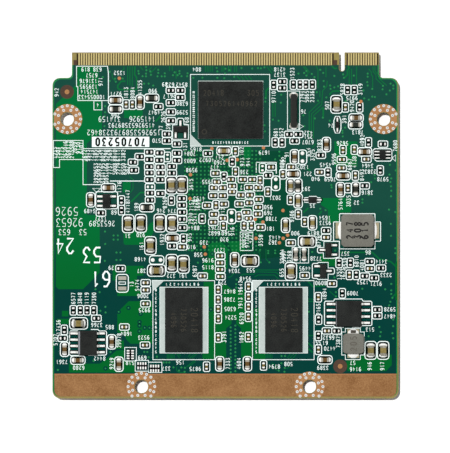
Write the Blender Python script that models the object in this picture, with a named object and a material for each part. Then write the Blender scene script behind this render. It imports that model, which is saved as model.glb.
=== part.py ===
"""Card-edge computer module, 70 mm square.

The module lies on the lid of its processor. +Z points out of the face that is seen, +Y points along the
board towards the contact tongue, and the origin is the middle of the footprint on the resting plane.
"""

import math

import bmesh
import bpy
from mathutils import Matrix, Vector

# Circuit board
BOARD_WIDTH = 0.070
BOARD_LENGTH = 0.070
BOARD_THICKNESS = 0.0012
BOARD_CORNER_RADIUS = 0.0016
SHOULDER_RADIUS = 0.0015
ARC_STEPS = 5

# Contact tongue and its key slot
TONGUE_INSET = 0.00395
TONGUE_LENGTH = 0.00517
TONGUE_FILLET = 0.00085
TONGUE_CORNER = 0.0004
TONGUE_LEAD_IN = 0.0002
KEY_FROM_TONGUE_SIDE = 0.0075
KEY_WIDTH = 0.0011
KEY_DEPTH = 0.0038

# Contact fingers, on both faces of the tongue
FINGER_PITCH = 0.0005
FINGER_GAP = 0.00015
FINGER_LENGTH = 0.00255
FINGER_FROM_END = 0.00028
FINGER_HEIGHT = 0.00005
LONG_BANK_FROM_KEY = 0.00215
LONG_BANK_FROM_SIDE = 0.00142
SHORT_BANK_FROM_KEY = 0.0014
SHORT_BANK_FROM_SIDE = 0.0006

# Mounting holes
HOLE_DIAMETER = 0.0027
HOLE_SIDES = 24
UPPER_HOLE_FROM_SIDE = 0.0030
UPPER_HOLE_FROM_TOP = 0.0135
LOWER_HOLE_FROM_SIDE = 0.0180
LOWER_HOLE_FROM_BOTTOM = 0.0024

# Seating: the height of the solder under a part
SOLDER_GAP = 0.0003

# Processor: carrier, bonded metal lid with a raised middle
PROCESSOR_SIZE = 0.021
PROCESSOR_BASE_THICKNESS = 0.0007
LID_BRIM_MARGIN = 0.0004
LID_BRIM_THICKNESS = 0.0004
LID_STEP_MARGIN = 0.0016
LID_STEP_HEIGHT = 0.0005
LID_CORNER_RADIUS = 0.0008
LID_BOND_GAP = 0.0003

# Ball-grid packages
FLASH_WIDTH = 0.0130
FLASH_LENGTH = 0.0115
FLASH_HEIGHT = 0.0010
MEMORY_WIDTH = 0.0075
MEMORY_LENGTH = 0.0130
MEMORY_HEIGHT = 0.0009
PACKAGE_EDGE = 0.00008

# Leadless chips and metal-lidded crystals of the hidden side
POWER_CHIP_SIZE = 0.0080
NETWORK_CHIP_SIZE = 0.0070
LEADLESS_HEIGHT = 0.00085
LEADLESS_CORNER = 0.00025
CRYSTAL_WIDTH = 0.0025
CRYSTAL_LENGTH = 0.0032
CRYSTAL_BASE_HEIGHT = 0.0004
CRYSTAL_LID_HEIGHT = 0.0003
CRYSTAL_LID_MARGIN = 0.0002
CRYSTAL_LID_RADIUS = 0.0003

# Watch crystal
WATCH_WIDTH = 0.0013
WATCH_LENGTH = 0.0068
WATCH_HEIGHT = 0.0012
WATCH_EDGE = 0.00025
WATCH_FOOT_WIDTH = 0.0006
WATCH_FOOT_LENGTH = 0.0010
WATCH_FOOT_HEIGHT = 0.0002
WATCH_FOOT_REACH = 0.00012

# Inductors
LARGE_COIL_SIZE = 0.0066
LARGE_COIL_HEIGHT = 0.0018
LARGE_COIL_CORNER = 0.00035
LARGE_COIL_CLIP = 0.0031
SMALL_COIL_WIDTH = 0.0043
SMALL_COIL_LENGTH = 0.0039
SMALL_COIL_HEIGHT = 0.0015
SMALL_COIL_CORNER = 0.0006
SMALL_COIL_CLIP = 0.0023
BUCK_COIL_SIZE = 0.0040
BUCK_COIL_HEIGHT = 0.0015
BUCK_COIL_CORNER = 0.0003
BUCK_COIL_CLIP = 0.0018
CLIP_THICKNESS = 0.0002
CLIP_FOOT = 0.0012
CLIP_RISE = 0.0010
COIL_EDGE = 0.00012

# Gull-wing packages: lead thickness, and how a lead's reach is shared out
LEAD_THICKNESS = 0.00015
LEAD_SHOULDER_SHARE = 0.22
LEAD_FOOT_SHARE = 0.50
LEAD_ROOT = 0.00012
MOULD_DRAFT = 0.00012
MOULD_STANDOFF = 0.00012
SOIC_PITCH = 0.00127
SOIC_LEAD_WIDTH = 0.00042
SOIC_LENGTH = 0.0049
SOIC_HEIGHT = 0.0015
SOIC_NARROW_WIDTH = 0.0039
SOIC_NARROW_REACH = 0.00105
SOIC_WIDE_WIDTH = 0.0053
SOIC_WIDE_LENGTH = 0.0052
SOIC_WIDE_REACH = 0.0013
SOT_PITCH = 0.00095
SOT_LEAD_WIDTH = 0.0004
SOT_LENGTH = 0.0029
SOT_HEIGHT = 0.0010
SOT_NARROW_WIDTH = 0.0013
SOT_WIDE_WIDTH = 0.0016
SOT_REACH = 0.00055
SC_PITCH = 0.00065
SC_LEAD_WIDTH = 0.00022
SC_LENGTH = 0.0020
SC_WIDTH = 0.00125
SC_HEIGHT = 0.0009
SC_REACH = 0.00042
DIODE_WIDTH = 0.0017
DIODE_LENGTH = 0.00125
DIODE_HEIGHT = 0.0009
DIODE_REACH = 0.0004
DIODE_LEAD_WIDTH = 0.0003
SMALL_DIODE_WIDTH = 0.0012
SMALL_DIODE_LENGTH = 0.0008
SMALL_DIODE_HEIGHT = 0.0006
SMALL_DIODE_REACH = 0.0002

# Chip parts with end caps
LARGE_CHIP_LENGTH = 0.0020
LARGE_CHIP_WIDTH = 0.00125
LARGE_CHIP_HEIGHT = 0.00115
LARGE_CHIP_CAP = 0.0005
BEAD_LENGTH = 0.0016
BEAD_WIDTH = 0.0008
BEAD_HEIGHT = 0.0008
BEAD_CAP = 0.0004
CHIP_CAP_STEP = 0.00003
CHIP_EDGE = 0.00008

# Four-way resistor arrays
ARRAY_LENGTH = 0.0020
ARRAY_WIDTH = 0.0009
ARRAY_HEIGHT = 0.00035
ARRAY_PITCH = 0.0005
ARRAY_TAB_WIDTH = 0.00028
ARRAY_TAB_REACH = 0.00008

# Small chip parts, fused to the board: length, width and height of each kind
SMALL_CHIP_LENGTH = 0.0010
SMALL_CHIP_WIDTH = 0.0005
MEDIUM_CHIP_LENGTH = 0.0016
MEDIUM_CHIP_WIDTH = 0.0008
SMALL_RESISTOR_HEIGHT = 0.00035
SMALL_CAPACITOR_HEIGHT = 0.0005
MEDIUM_RESISTOR_HEIGHT = 0.00045
MEDIUM_CAPACITOR_HEIGHT = 0.0008
CHIP_ROOT = 0.0002

# Where the board's edges lie in the photograph, in its pixels. Parts are placed by the pixel of their middle.
PHOTO_LEFT = 52.4
PHOTO_RIGHT = 398.6
PHOTO_TOP = 52.3
PHOTO_BOTTOM = 398.5

LEVEL = 0.0
UPRIGHT = math.pi / 2
SLANTED = math.pi / 4

# Heights that follow from the parts
LID_HEIGHT = LID_BRIM_THICKNESS + LID_STEP_HEIGHT
BOARD_BOTTOM = LID_HEIGHT + LID_BOND_GAP + PROCESSOR_BASE_THICKNESS + SOLDER_GAP
BOARD_TOP = BOARD_BOTTOM + BOARD_THICKNESS
HALF_WIDTH = BOARD_WIDTH / 2
HALF_LENGTH = BOARD_LENGTH / 2
TONGUE_HALF = HALF_WIDTH - TONGUE_INSET
KEY_X = TONGUE_HALF - KEY_FROM_TONGUE_SIDE

# Small chip parts of the seen side, by the pixel of their middle
SMALL_RESISTORS_LEVEL = (
    (170.9, 90.4), (180.3, 90.4), (180.3, 97.4), (170.9, 102.7), (170.9, 111.9), (170.9, 120.7),
    (167.0, 134.0), (167.0, 140.8), (177.0, 143.9), (158.3, 106.6), (282.3, 81.6), (282.3, 88.0),
    (149.3, 152.1), (159.6, 152.9), (177.0, 153.2), (177.0, 160.4), (139.7, 156.6), (133.0, 162.2),
    (133.9, 170.2), (149.3, 159.5), (159.3, 160.3), (149.3, 166.7), (160.4, 167.1), (171.8, 166.5),
    (149.5, 172.8), (160.7, 172.9), (171.8, 173.1), (149.5, 179.6), (160.4, 179.6), (150.0, 193.0),
    (160.4, 193.5), (150.1, 200.0), (207.9, 153.4), (181.8, 198.5), (181.8, 205.2), (182.1, 212.2),
    (182.1, 219.2), (182.3, 227.7), (268.2, 175.3), (320.8, 155.2), (383.0, 144.1), (364.7, 185.8),
    (326.2, 230.6), (172.1, 246.0), (100.9, 212.9), (120.5, 268.5), (96.4, 318.3), (369.7, 261.6),
    (381.0, 268.1), (364.8, 276.1), (374.0, 278.0), (377.3, 309.6), (377.3, 315.8), (294.6, 140.9),
    (62.7, 338.3), (336.6, 331.0), (289.3, 134.3), (298.2, 134.3),
)
SMALL_RESISTORS_UPRIGHT = (
    (273.7, 84.9), (293.4, 84.6), (300.2, 84.6), (305.8, 84.6), (312.4, 84.6), (347.7, 90.0),
    (354.3, 90.0), (359.7, 107.3), (275.2, 142.4), (282.1, 142.4), (368.5, 142.4), (380.3, 170.4),
    (232.3, 161.7), (224.0, 176.7), (171.4, 200.5), (121.5, 200.5), (121.5, 210.1), (183.6, 238.7),
    (328.0, 172.6), (339.1, 262.9), (350.4, 262.8), (356.3, 274.8), (342.3, 293.3), (73.3, 310.3),
    (80.3, 310.3), (87.0, 310.3), (93.75, 310.3), (64.3, 329.9), (318.6, 319.6), (318.4, 335.9),
)
SMALL_CAPACITORS_LEVEL = (
    (215.5, 173.3), (230.9, 179.5), (216.9, 182.0), (214.0, 187.8), (222.9, 187.8), (232.1, 186.2),
    (232.1, 191.8), (213.3, 195.7), (222.9, 195.7), (271.1, 167.1), (291.2, 167.0), (242.9, 179.5),
    (252.3, 179.5), (249.2, 187.6), (258.3, 187.6), (240.9, 195.1), (249.9, 195.1), (223.8, 204.1),
    (214.0, 214.3), (222.9, 218.3), (213.3, 222.2), (258.6, 199.4), (239.6, 203.9), (249.4, 202.8),
    (258.1, 207.3), (246.3, 212.5), (257.9, 214.0), (248.8, 218.4), (260.5, 227.3), (182.1, 246.9),
    (290.8, 242.8), (342.0, 159.5), (341.6, 167.9), (366.4, 159.2), (319.7, 172.2), (326.1, 237.4),
    (304.7, 275.4), (332.0, 283.7), (369.8, 268.5), (202.6, 276.0), (145.7, 282.8), (145.7, 290.0),
    (145.5, 303.8), (220.2, 255.9), (220.2, 262.9), (220.2, 269.4), (220.4, 276.6), (124.3, 327.0),
    (145.0, 345.1), (327.0, 330.9),
)
SMALL_CAPACITORS_UPRIGHT = (
    (126.1, 104.5), (132.4, 104.5), (345.4, 107.3), (235.4, 151.2), (235.6, 171.7), (260.1, 180.4),
    (267.9, 191.6), (282.9, 174.2), (216.0, 205.2), (223.5, 225.7), (239.1, 216.6), (244.1, 225.6),
    (251.5, 225.6), (343.0, 150.1), (354.3, 149.6), (355.4, 175.5), (348.0, 188.0), (290.5, 199.8),
    (298.3, 214.4), (304.7, 221.9), (349.4, 274.8), (318.3, 297.3), (218.2, 289.7), (218.2, 299.6),
    (218.2, 308.9), (218.3, 318.5), (218.3, 337.5), (248.5, 286.6), (248.5, 296.7), (248.5, 306.7),
    (248.4, 316.7), (248.4, 337.0), (206.6, 366.7), (263.6, 365.4), (318.4, 349.7),
)
SMALL_CAPACITORS_SLANTED = ((207.1, 205.4), (201.7, 218.6))
MEDIUM_RESISTORS_LEVEL = ((115.6, 109.1), (151.7, 98.1), (355.6, 124.7), (146.8, 207.6))
MEDIUM_RESISTORS_UPRIGHT = ((297.9, 186.0), (355.8, 189.2))
MEDIUM_CAPACITORS_LEVEL = (
    (115.6, 100.3), (108.5, 187.8), (224.0, 150.8), (293.2, 174.0), (343.3, 175.8), (364.6, 151.8),
    (356.1, 117.9), (172.5, 238.2), (77.9, 360.2), (325.0, 359.8),
)
MEDIUM_CAPACITORS_UPRIGHT = (
    (140.0, 102.1), (90.7, 199.8), (326.4, 144.5), (340.4, 189.6), (290.6, 186.0), (298.1, 200.8),
    (285.6, 225.3), (312.5, 222.8), (234.7, 259.8), (294.5, 156.8), (64.6, 349.3), (111.7, 341.9),
    (118.9, 364.2), (219.8, 363.8), (247.4, 363.8),
)

# Large chip capacitors: the pixel of the middle, and the turn of the part
LARGE_CAPACITORS = (
    (336.5, 104.3, UPRIGHT), (171.4, 185.1, UPRIGHT), (181.8, 184.9, UPRIGHT), (128.1, 223.7, UPRIGHT),
    (140.8, 223.3, UPRIGHT), (159.8, 223.0, UPRIGHT), (172.1, 223.3, UPRIGHT), (150.4, 245.6, UPRIGHT),
    (171.8, 263.4, UPRIGHT), (183.4, 264.3, UPRIGHT), (290.9, 271.4, UPRIGHT), (156.4, 270.5, LEVEL),
    (249.9, 260.9, LEVEL), (307.2, 241.6, LEVEL), (78.6, 323.4, LEVEL), (370.7, 350.4, UPRIGHT),
    (383.2, 350.4, UPRIGHT),
)
BEADS = (("bead_left", 295.8, 254.5), ("bead_right", 304.1, 254.5))
RESISTOR_ARRAYS = ((130.4, 354.5, UPRIGHT), (141.9, 365.7, LEVEL), (154.7, 368.3, LEVEL))

# Packages of both sides, by the pixel of their middle as seen through the board
FLASH_AT = (230.4, 110.0)
MEMORY_LEFT_AT = (183.6, 319.9)
MEMORY_RIGHT_AT = (283.6, 319.9)
PROCESSOR_AT = (215.0, 205.0)
POWER_CHIP_AT = (335.0, 225.0)
NETWORK_CHIP_AT = (100.0, 180.0)
CLOCK_CRYSTALS = ((132.0, 150.0), (140.0, 265.0))
BUCK_COILS = ((291.0, 175.0), (291.0, 205.0), (291.0, 235.0))
BULK_CAPACITORS = ((375.0, 205.0), (375.0, 220.0), (375.0, 235.0), (375.0, 250.0))

# Small chip parts of the hidden side: the first pixel, the step to the next and how many
HIDDEN_ROWS = (
    ((224.0, 296.0), (0.0, 12.0), 5, LEVEL),
    ((243.0, 296.0), (0.0, 12.0), 5, LEVEL),
    ((316.0, 257.0), (12.0, 0.0), 4, UPRIGHT),
    ((82.0, 208.0), (12.0, 0.0), 4, UPRIGHT),
    ((150.0, 165.0), (0.0, 12.0), 7, LEVEL),
    ((172.0, 140.0), (15.0, 0.0), 6, UPRIGHT),
)


def on_board(pixel_x, pixel_y):
    """Place on the board of a point of the photograph."""
    across = (pixel_x - PHOTO_LEFT) / (PHOTO_RIGHT - PHOTO_LEFT)
    down = (pixel_y - PHOTO_TOP) / (PHOTO_BOTTOM - PHOTO_TOP)
    return (across - 0.5) * BOARD_WIDTH, (0.5 - down) * BOARD_LENGTH


def clear_scene():
    for old in list(bpy.data.objects):
        bpy.data.objects.remove(old, do_unlink=True)


def make_material(name, colour, roughness, metallic):
    material = bpy.data.materials.new(name)
    material.use_nodes = True
    shader = material.node_tree.nodes["Principled BSDF"]
    shader.inputs["Base Color"].default_value = (*colour, 1.0)
    shader.inputs["Roughness"].default_value = roughness
    shader.inputs["Metallic"].default_value = metallic
    material.diffuse_color = (*colour, 1.0)
    return material


def make_mesh(name, bm, material):
    """Turn a finished bmesh into a mesh with faces out, round stretches smooth and one material."""
    bmesh.ops.recalc_face_normals(bm, faces=bm.faces)
    mesh = bpy.data.meshes.new(name)
    bm.to_mesh(mesh)
    bm.free()
    mesh.materials.append(material)
    mesh.shade_smooth()
    mesh.set_sharp_from_angle(angle=math.radians(32))
    return mesh


def add_object(name, mesh):
    part = bpy.data.objects.new(name, mesh)
    bpy.context.scene.collection.objects.link(part)
    return part


def add_tool(name, mesh, parent=None):
    """A guide body for a Boolean, which isn't part of the model."""
    tool = add_object(name, mesh)
    tool.hide_render = True
    tool.display_type = "WIRE"
    tool.parent = parent
    return tool


def join_by_boolean(part, tool, operation):
    modifier = part.modifiers.new(tool.name, "BOOLEAN")
    modifier.operation = operation
    modifier.solver = "EXACT"
    modifier.object = tool


def seat_on_top(part, at, turn=LEVEL):
    """Seat a part on the seen face, a solder joint above it."""
    part.location = (*on_board(*at), BOARD_TOP + SOLDER_GAP)
    part.rotation_euler = (0.0, 0.0, turn)


def seat_underneath(part, at, turn=LEVEL):
    """Seat a part upside down on the hidden face, a solder joint below it."""
    part.location = (*on_board(*at), BOARD_BOTTOM - SOLDER_GAP)
    part.rotation_euler = (math.pi, 0.0, turn)


def arc(centre_x, centre_y, radius, start, end, steps=ARC_STEPS):
    """Points along an arc; start and end are in degrees."""
    points = []
    for step in range(steps + 1):
        angle = math.radians(start + (end - start) * step / steps)
        points.append((centre_x + radius * math.cos(angle), centre_y + radius * math.sin(angle)))
    return points


def rounded_rectangle(width, length, radius, steps=ARC_STEPS):
    x = width / 2 - radius
    y = length / 2 - radius
    return (
        arc(x, y, radius, 0, 90, steps)
        + arc(-x, y, radius, 90, 180, steps)
        + arc(-x, -y, radius, 180, 270, steps)
        + arc(x, -y, radius, 270, 360, steps)
    )


def cut_corner_rectangle(width, length, corner):
    """A rectangle with its four corners cut off straight."""
    return rounded_rectangle(width, length, corner, steps=1)


def rectangle(width, length):
    x = width / 2
    y = length / 2
    return [(x, y), (-x, y), (-x, -y), (x, -y)]


def loft(bm, rings):
    """Skin a run of equal-sized rings of points and cap both ends."""
    loops = [[bm.verts.new(point) for point in ring] for ring in rings]
    for lower, upper in zip(loops, loops[1:]):
        for index in range(len(lower)):
            following = (index + 1) % len(lower)
            bm.faces.new((lower[index], lower[following], upper[following], upper[index]))
    bm.faces.new(loops[0])
    bm.faces.new(loops[-1])


def stack(bm, tiers):
    """Loft outlines in the XY plane; each tier is an outline and its height."""
    loft(bm, [[(x, y, height) for x, y in outline] for outline, height in tiers])


def add_block(bm, centre, size, turn=LEVEL):
    """A plain block, turned about its own upright axis."""
    placed = Matrix.Translation(centre) @ Matrix.Rotation(turn, 4, "Z") @ Matrix.Diagonal((*size, 1.0))
    bmesh.ops.create_cube(bm, size=1.0, matrix=placed)


def bent_strip(path, thickness):
    """Outline of a flat strip whose middle line follows a bent path, with mitred bends."""
    outer = []
    inner = []
    for index, point in enumerate(path):
        before = path[max(index - 1, 0)]
        after = path[min(index + 1, len(path) - 1)]
        into = (point - before).normalized() if index else (after - point).normalized()
        out_of = (after - point).normalized() if index < len(path) - 1 else into
        tangent = (into + out_of).normalized()
        across = Vector((-tangent.y, tangent.x))
        reach = thickness / 2 / across.dot(Vector((-into.y, into.x)))
        outer.append(point + across * reach)
        inner.append(point - across * reach)
    return outer + inner[::-1]


def add_strip(bm, outline, side, middle_y, width):
    """Extrude a strip's outline, drawn in XZ, across Y; side is 1 or -1 and mirrors it in X."""
    rings = []
    for y in (middle_y - width / 2, middle_y + width / 2):
        rings.append([(side * point.x, y, point.y) for point in outline])
    loft(bm, rings)


def board_outline():
    """Edge of the board, from its lower left corner and round: body, shoulders, tongue and key slot."""
    shoulder = HALF_LENGTH - TONGUE_LENGTH
    corner_x = HALF_WIDTH - BOARD_CORNER_RADIUS
    corner_y = -HALF_LENGTH + BOARD_CORNER_RADIUS
    shoulder_x = HALF_WIDTH - SHOULDER_RADIUS
    shoulder_y = shoulder - SHOULDER_RADIUS
    fillet_x = TONGUE_HALF + TONGUE_FILLET
    fillet_y = shoulder + TONGUE_FILLET
    key_right = KEY_X + KEY_WIDTH / 2
    key_left = KEY_X - KEY_WIDTH / 2
    key_bottom = HALF_LENGTH - KEY_DEPTH + KEY_WIDTH / 2
    points = arc(-corner_x, corner_y, BOARD_CORNER_RADIUS, 180, 270)
    points += arc(corner_x, corner_y, BOARD_CORNER_RADIUS, 270, 360)
    points += arc(shoulder_x, shoulder_y, SHOULDER_RADIUS, 0, 90)
    points += arc(fillet_x, fillet_y, TONGUE_FILLET, 270, 180)
    points.append((TONGUE_HALF, HALF_LENGTH - TONGUE_CORNER))
    points.append((TONGUE_HALF - TONGUE_CORNER, HALF_LENGTH))
    points.append((key_right, HALF_LENGTH))
    points += arc(KEY_X, key_bottom, KEY_WIDTH / 2, 0, -180)
    points.append((key_left, HALF_LENGTH))
    points.append((-TONGUE_HALF + TONGUE_CORNER, HALF_LENGTH))
    points.append((-TONGUE_HALF, HALF_LENGTH - TONGUE_CORNER))
    points += arc(-fillet_x, fillet_y, TONGUE_FILLET, 0, -90)
    points += arc(-shoulder_x, shoulder_y, SHOULDER_RADIUS, 90, 180)
    return points


def board_mesh(material):
    """The bare laminate, with a lead-in ground along both edges of the tongue's end."""
    bm = bmesh.new()
    stack(bm, [(board_outline(), BOARD_BOTTOM), (board_outline(), BOARD_TOP)])
    end_edges = []
    for edge in bm.edges:
        first, second = edge.verts
        level = abs(first.co.z - second.co.z) < BOARD_THICKNESS / 2
        at_end = min(first.co.y, second.co.y) > HALF_LENGTH - TONGUE_LEAD_IN / 2
        if level and at_end:
            end_edges.append(edge)
    bmesh.ops.recalc_face_normals(bm, faces=bm.faces)
    bmesh.ops.bevel(
        bm, geom=end_edges, offset=TONGUE_LEAD_IN, segments=1, profile=0.5, affect="EDGES", material=-1
    )
    return make_mesh("circuit_board", bm, material)


def mounting_holes():
    upper_x = HALF_WIDTH - UPPER_HOLE_FROM_SIDE
    upper_y = HALF_LENGTH - UPPER_HOLE_FROM_TOP
    lower_x = HALF_WIDTH - LOWER_HOLE_FROM_SIDE
    lower_y = -HALF_LENGTH + LOWER_HOLE_FROM_BOTTOM
    return ((-upper_x, upper_y), (upper_x, upper_y), (-lower_x, lower_y), (lower_x, lower_y))


def hole_mesh(material):
    bm = bmesh.new()
    middle = (BOARD_BOTTOM + BOARD_TOP) / 2
    for x, y in mounting_holes():
        bmesh.ops.create_cone(
            bm, cap_ends=True, segments=HOLE_SIDES, radius1=HOLE_DIAMETER / 2, radius2=HOLE_DIAMETER / 2,
            depth=BOARD_THICKNESS * 2, matrix=Matrix.Translation((x, y, middle))
        )
    return make_mesh("mounting_holes", bm, material)


def finger_bank(first_x, available):
    """Middles of a bank of fingers, from the one beside the key outwards; the sign gives the direction."""
    count = int(abs(available) / FINGER_PITCH + 1.001)
    step = math.copysign(FINGER_PITCH, available)
    return [first_x + step * index for index in range(count)]


def finger_mesh(material):
    """Contact fingers as low ridges on both faces of the tongue, in a long and a short bank."""
    long_first = KEY_X - LONG_BANK_FROM_KEY
    short_first = KEY_X + SHORT_BANK_FROM_KEY
    long_room = -TONGUE_HALF + LONG_BANK_FROM_SIDE - long_first
    short_room = TONGUE_HALF - SHORT_BANK_FROM_SIDE - short_first
    middle_y = HALF_LENGTH - FINGER_FROM_END - FINGER_LENGTH / 2
    size = (FINGER_PITCH - FINGER_GAP, FINGER_LENGTH, FINGER_HEIGHT + CHIP_ROOT)
    bm = bmesh.new()
    for x in finger_bank(long_first, long_room) + finger_bank(short_first, short_room):
        add_block(bm, (x, middle_y, BOARD_TOP + (FINGER_HEIGHT - CHIP_ROOT) / 2), size)
        add_block(bm, (x, middle_y, BOARD_BOTTOM - (FINGER_HEIGHT - CHIP_ROOT) / 2), size)
    return make_mesh("contact_fingers", bm, material)


def small_chip_mesh(material):
    """The small chip parts of both sides, each rooted a little way into the board that carries it."""
    small_resistor = (SMALL_CHIP_LENGTH, SMALL_CHIP_WIDTH, SMALL_RESISTOR_HEIGHT)
    small_capacitor = (SMALL_CHIP_LENGTH, SMALL_CHIP_WIDTH, SMALL_CAPACITOR_HEIGHT)
    medium_resistor = (MEDIUM_CHIP_LENGTH, MEDIUM_CHIP_WIDTH, MEDIUM_RESISTOR_HEIGHT)
    medium_capacitor = (MEDIUM_CHIP_LENGTH, MEDIUM_CHIP_WIDTH, MEDIUM_CAPACITOR_HEIGHT)
    seen_groups = (
        (SMALL_RESISTORS_LEVEL, small_resistor, LEVEL),
        (SMALL_RESISTORS_UPRIGHT, small_resistor, UPRIGHT),
        (SMALL_CAPACITORS_LEVEL, small_capacitor, LEVEL),
        (SMALL_CAPACITORS_UPRIGHT, small_capacitor, UPRIGHT),
        (SMALL_CAPACITORS_SLANTED, small_capacitor, SLANTED),
        (MEDIUM_RESISTORS_LEVEL, medium_resistor, LEVEL),
        (MEDIUM_RESISTORS_UPRIGHT, medium_resistor, UPRIGHT),
        (MEDIUM_CAPACITORS_LEVEL, medium_capacitor, LEVEL),
        (MEDIUM_CAPACITORS_UPRIGHT, medium_capacitor, UPRIGHT),
    )
    bm = bmesh.new()
    for places, (length, width, height), turn in seen_groups:
        for place in places:
            middle = (*on_board(*place), BOARD_TOP + (height - CHIP_ROOT) / 2)
            add_block(bm, middle, (length, width, height + CHIP_ROOT), turn)
    length, width, height = small_capacitor
    for (first_x, first_y), (step_x, step_y), count, turn in HIDDEN_ROWS:
        for index in range(count):
            place = on_board(first_x + step_x * index, first_y + step_y * index)
            middle = (*place, BOARD_BOTTOM - (height - CHIP_ROOT) / 2)
            add_block(bm, middle, (length, width, height + CHIP_ROOT), turn)
    return make_mesh("small_chips", bm, material)


def build_board(laminate, gold, tan):
    board = add_object("circuit_board", board_mesh(laminate))
    holes = add_tool("mounting_holes", hole_mesh(laminate), board)
    fingers = add_tool("contact_fingers", finger_mesh(gold), board)
    chips = add_tool("small_chips", small_chip_mesh(tan), board)
    join_by_boolean(board, holes, "DIFFERENCE")
    join_by_boolean(board, fingers, "UNION")
    join_by_boolean(board, chips, "UNION")


def moulded_slab_mesh(name, width, length, height, material):
    """A sawn, moulded package: square sides and a fine edge round the face."""
    bm = bmesh.new()
    inner = rectangle(width - 2 * PACKAGE_EDGE, length - 2 * PACKAGE_EDGE)
    full = rectangle(width, length)
    stack(bm, [(full, 0.0), (full, height - PACKAGE_EDGE), (inner, height)])
    return make_mesh(name, bm, material)


def build_ball_grid_packages(mould):
    flash_mesh = moulded_slab_mesh("flash_memory", FLASH_WIDTH, FLASH_LENGTH, FLASH_HEIGHT, mould)
    seat_on_top(add_object("flash_memory", flash_mesh), FLASH_AT)
    memory_mesh = moulded_slab_mesh("memory", MEMORY_WIDTH, MEMORY_LENGTH, MEMORY_HEIGHT, mould)
    for side, at in (("left", MEMORY_LEFT_AT), ("right", MEMORY_RIGHT_AT)):
        seat_on_top(add_object(f"memory_{side}_upper", memory_mesh), at)
        seat_underneath(add_object(f"memory_{side}_lower", memory_mesh), at)


def build_processor(carrier, metal):
    """Carrier under the board, and the stamped lid that the module lies on."""
    bm = bmesh.new()
    outline = rectangle(PROCESSOR_SIZE, PROCESSOR_SIZE)
    stack(bm, [(outline, 0.0), (outline, PROCESSOR_BASE_THICKNESS)])
    base = add_object("processor_base", make_mesh("processor_base", bm, carrier))
    seat_underneath(base, PROCESSOR_AT)

    bm = bmesh.new()
    brim_size = PROCESSOR_SIZE - 2 * LID_BRIM_MARGIN
    step_size = brim_size - 2 * LID_STEP_MARGIN
    brim = rounded_rectangle(brim_size, brim_size, LID_CORNER_RADIUS)
    step_foot = rounded_rectangle(step_size, step_size, LID_CORNER_RADIUS)
    face_size = step_size - 2 * LID_BRIM_THICKNESS
    face = rounded_rectangle(face_size, face_size, LID_CORNER_RADIUS)
    stack(bm, [(brim, 0.0), (brim, LID_BRIM_THICKNESS), (step_foot, LID_BRIM_THICKNESS), (face, LID_HEIGHT)])
    lid = add_object("processor_lid", make_mesh("processor_lid", bm, metal))
    lid.location = (*on_board(*PROCESSOR_AT), LID_HEIGHT)
    lid.rotation_euler = (math.pi, 0.0, 0.0)


def build_leadless_chips(mould):
    for name, size, at in (
        ("power_manager", POWER_CHIP_SIZE, POWER_CHIP_AT),
        ("network_chip", NETWORK_CHIP_SIZE, NETWORK_CHIP_AT),
    ):
        bm = bmesh.new()
        full = cut_corner_rectangle(size, size, LEADLESS_CORNER)
        inner_size = size - 2 * PACKAGE_EDGE
        inner = cut_corner_rectangle(inner_size, inner_size, LEADLESS_CORNER)
        stack(bm, [(full, 0.0), (full, LEADLESS_HEIGHT - PACKAGE_EDGE), (inner, LEADLESS_HEIGHT)])
        seat_underneath(add_object(name, make_mesh(name, bm, mould)), at)


def build_clock_crystals(metal):
    """Ceramic tub with a seam-welded metal lid, one sealed piece."""
    bm = bmesh.new()
    lid_width = CRYSTAL_WIDTH - 2 * CRYSTAL_LID_MARGIN
    lid_length = CRYSTAL_LENGTH - 2 * CRYSTAL_LID_MARGIN
    tub = rounded_rectangle(CRYSTAL_WIDTH, CRYSTAL_LENGTH, CRYSTAL_LID_RADIUS, steps=3)
    lid = rounded_rectangle(lid_width, lid_length, CRYSTAL_LID_RADIUS, steps=3)
    height = CRYSTAL_BASE_HEIGHT + CRYSTAL_LID_HEIGHT
    stack(bm, [(tub, 0.0), (tub, CRYSTAL_BASE_HEIGHT), (lid, CRYSTAL_BASE_HEIGHT), (lid, height)])
    mesh = make_mesh("clock_crystal", bm, metal)
    for number, at in enumerate(CLOCK_CRYSTALS, start=1):
        seat_underneath(add_object(f"clock_crystal_{number}", mesh), at, UPRIGHT)


def build_watch_crystal(mould, tin):
    """Round-ended moulded body on four corner feet."""
    bm = bmesh.new()
    full = rounded_rectangle(WATCH_WIDTH, WATCH_LENGTH, WATCH_WIDTH * 0.45)
    top_width = WATCH_WIDTH - 2 * WATCH_EDGE
    top = rounded_rectangle(top_width, WATCH_LENGTH - 2 * WATCH_EDGE, top_width * 0.45)
    stack(bm, [(full, WATCH_FOOT_HEIGHT / 2), (full, WATCH_HEIGHT - WATCH_EDGE), (top, WATCH_HEIGHT)])
    crystal = add_object("watch_crystal", make_mesh("watch_crystal", bm, mould))

    bm = bmesh.new()
    foot_x = WATCH_WIDTH / 2 + WATCH_FOOT_REACH - WATCH_FOOT_WIDTH / 2
    foot_y = WATCH_LENGTH / 2 + WATCH_FOOT_REACH - WATCH_FOOT_LENGTH / 2
    for x in (-foot_x, foot_x):
        for y in (-foot_y, foot_y):
            size = (WATCH_FOOT_WIDTH, WATCH_FOOT_LENGTH, WATCH_FOOT_HEIGHT)
            add_block(bm, (x, y, WATCH_FOOT_HEIGHT / 2), size)
    feet = add_tool("watch_crystal_feet", make_mesh("watch_crystal_feet", bm, tin), crystal)
    join_by_boolean(crystal, feet, "UNION")
    seat_on_top(crystal, (293.7, 110.7))


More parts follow.
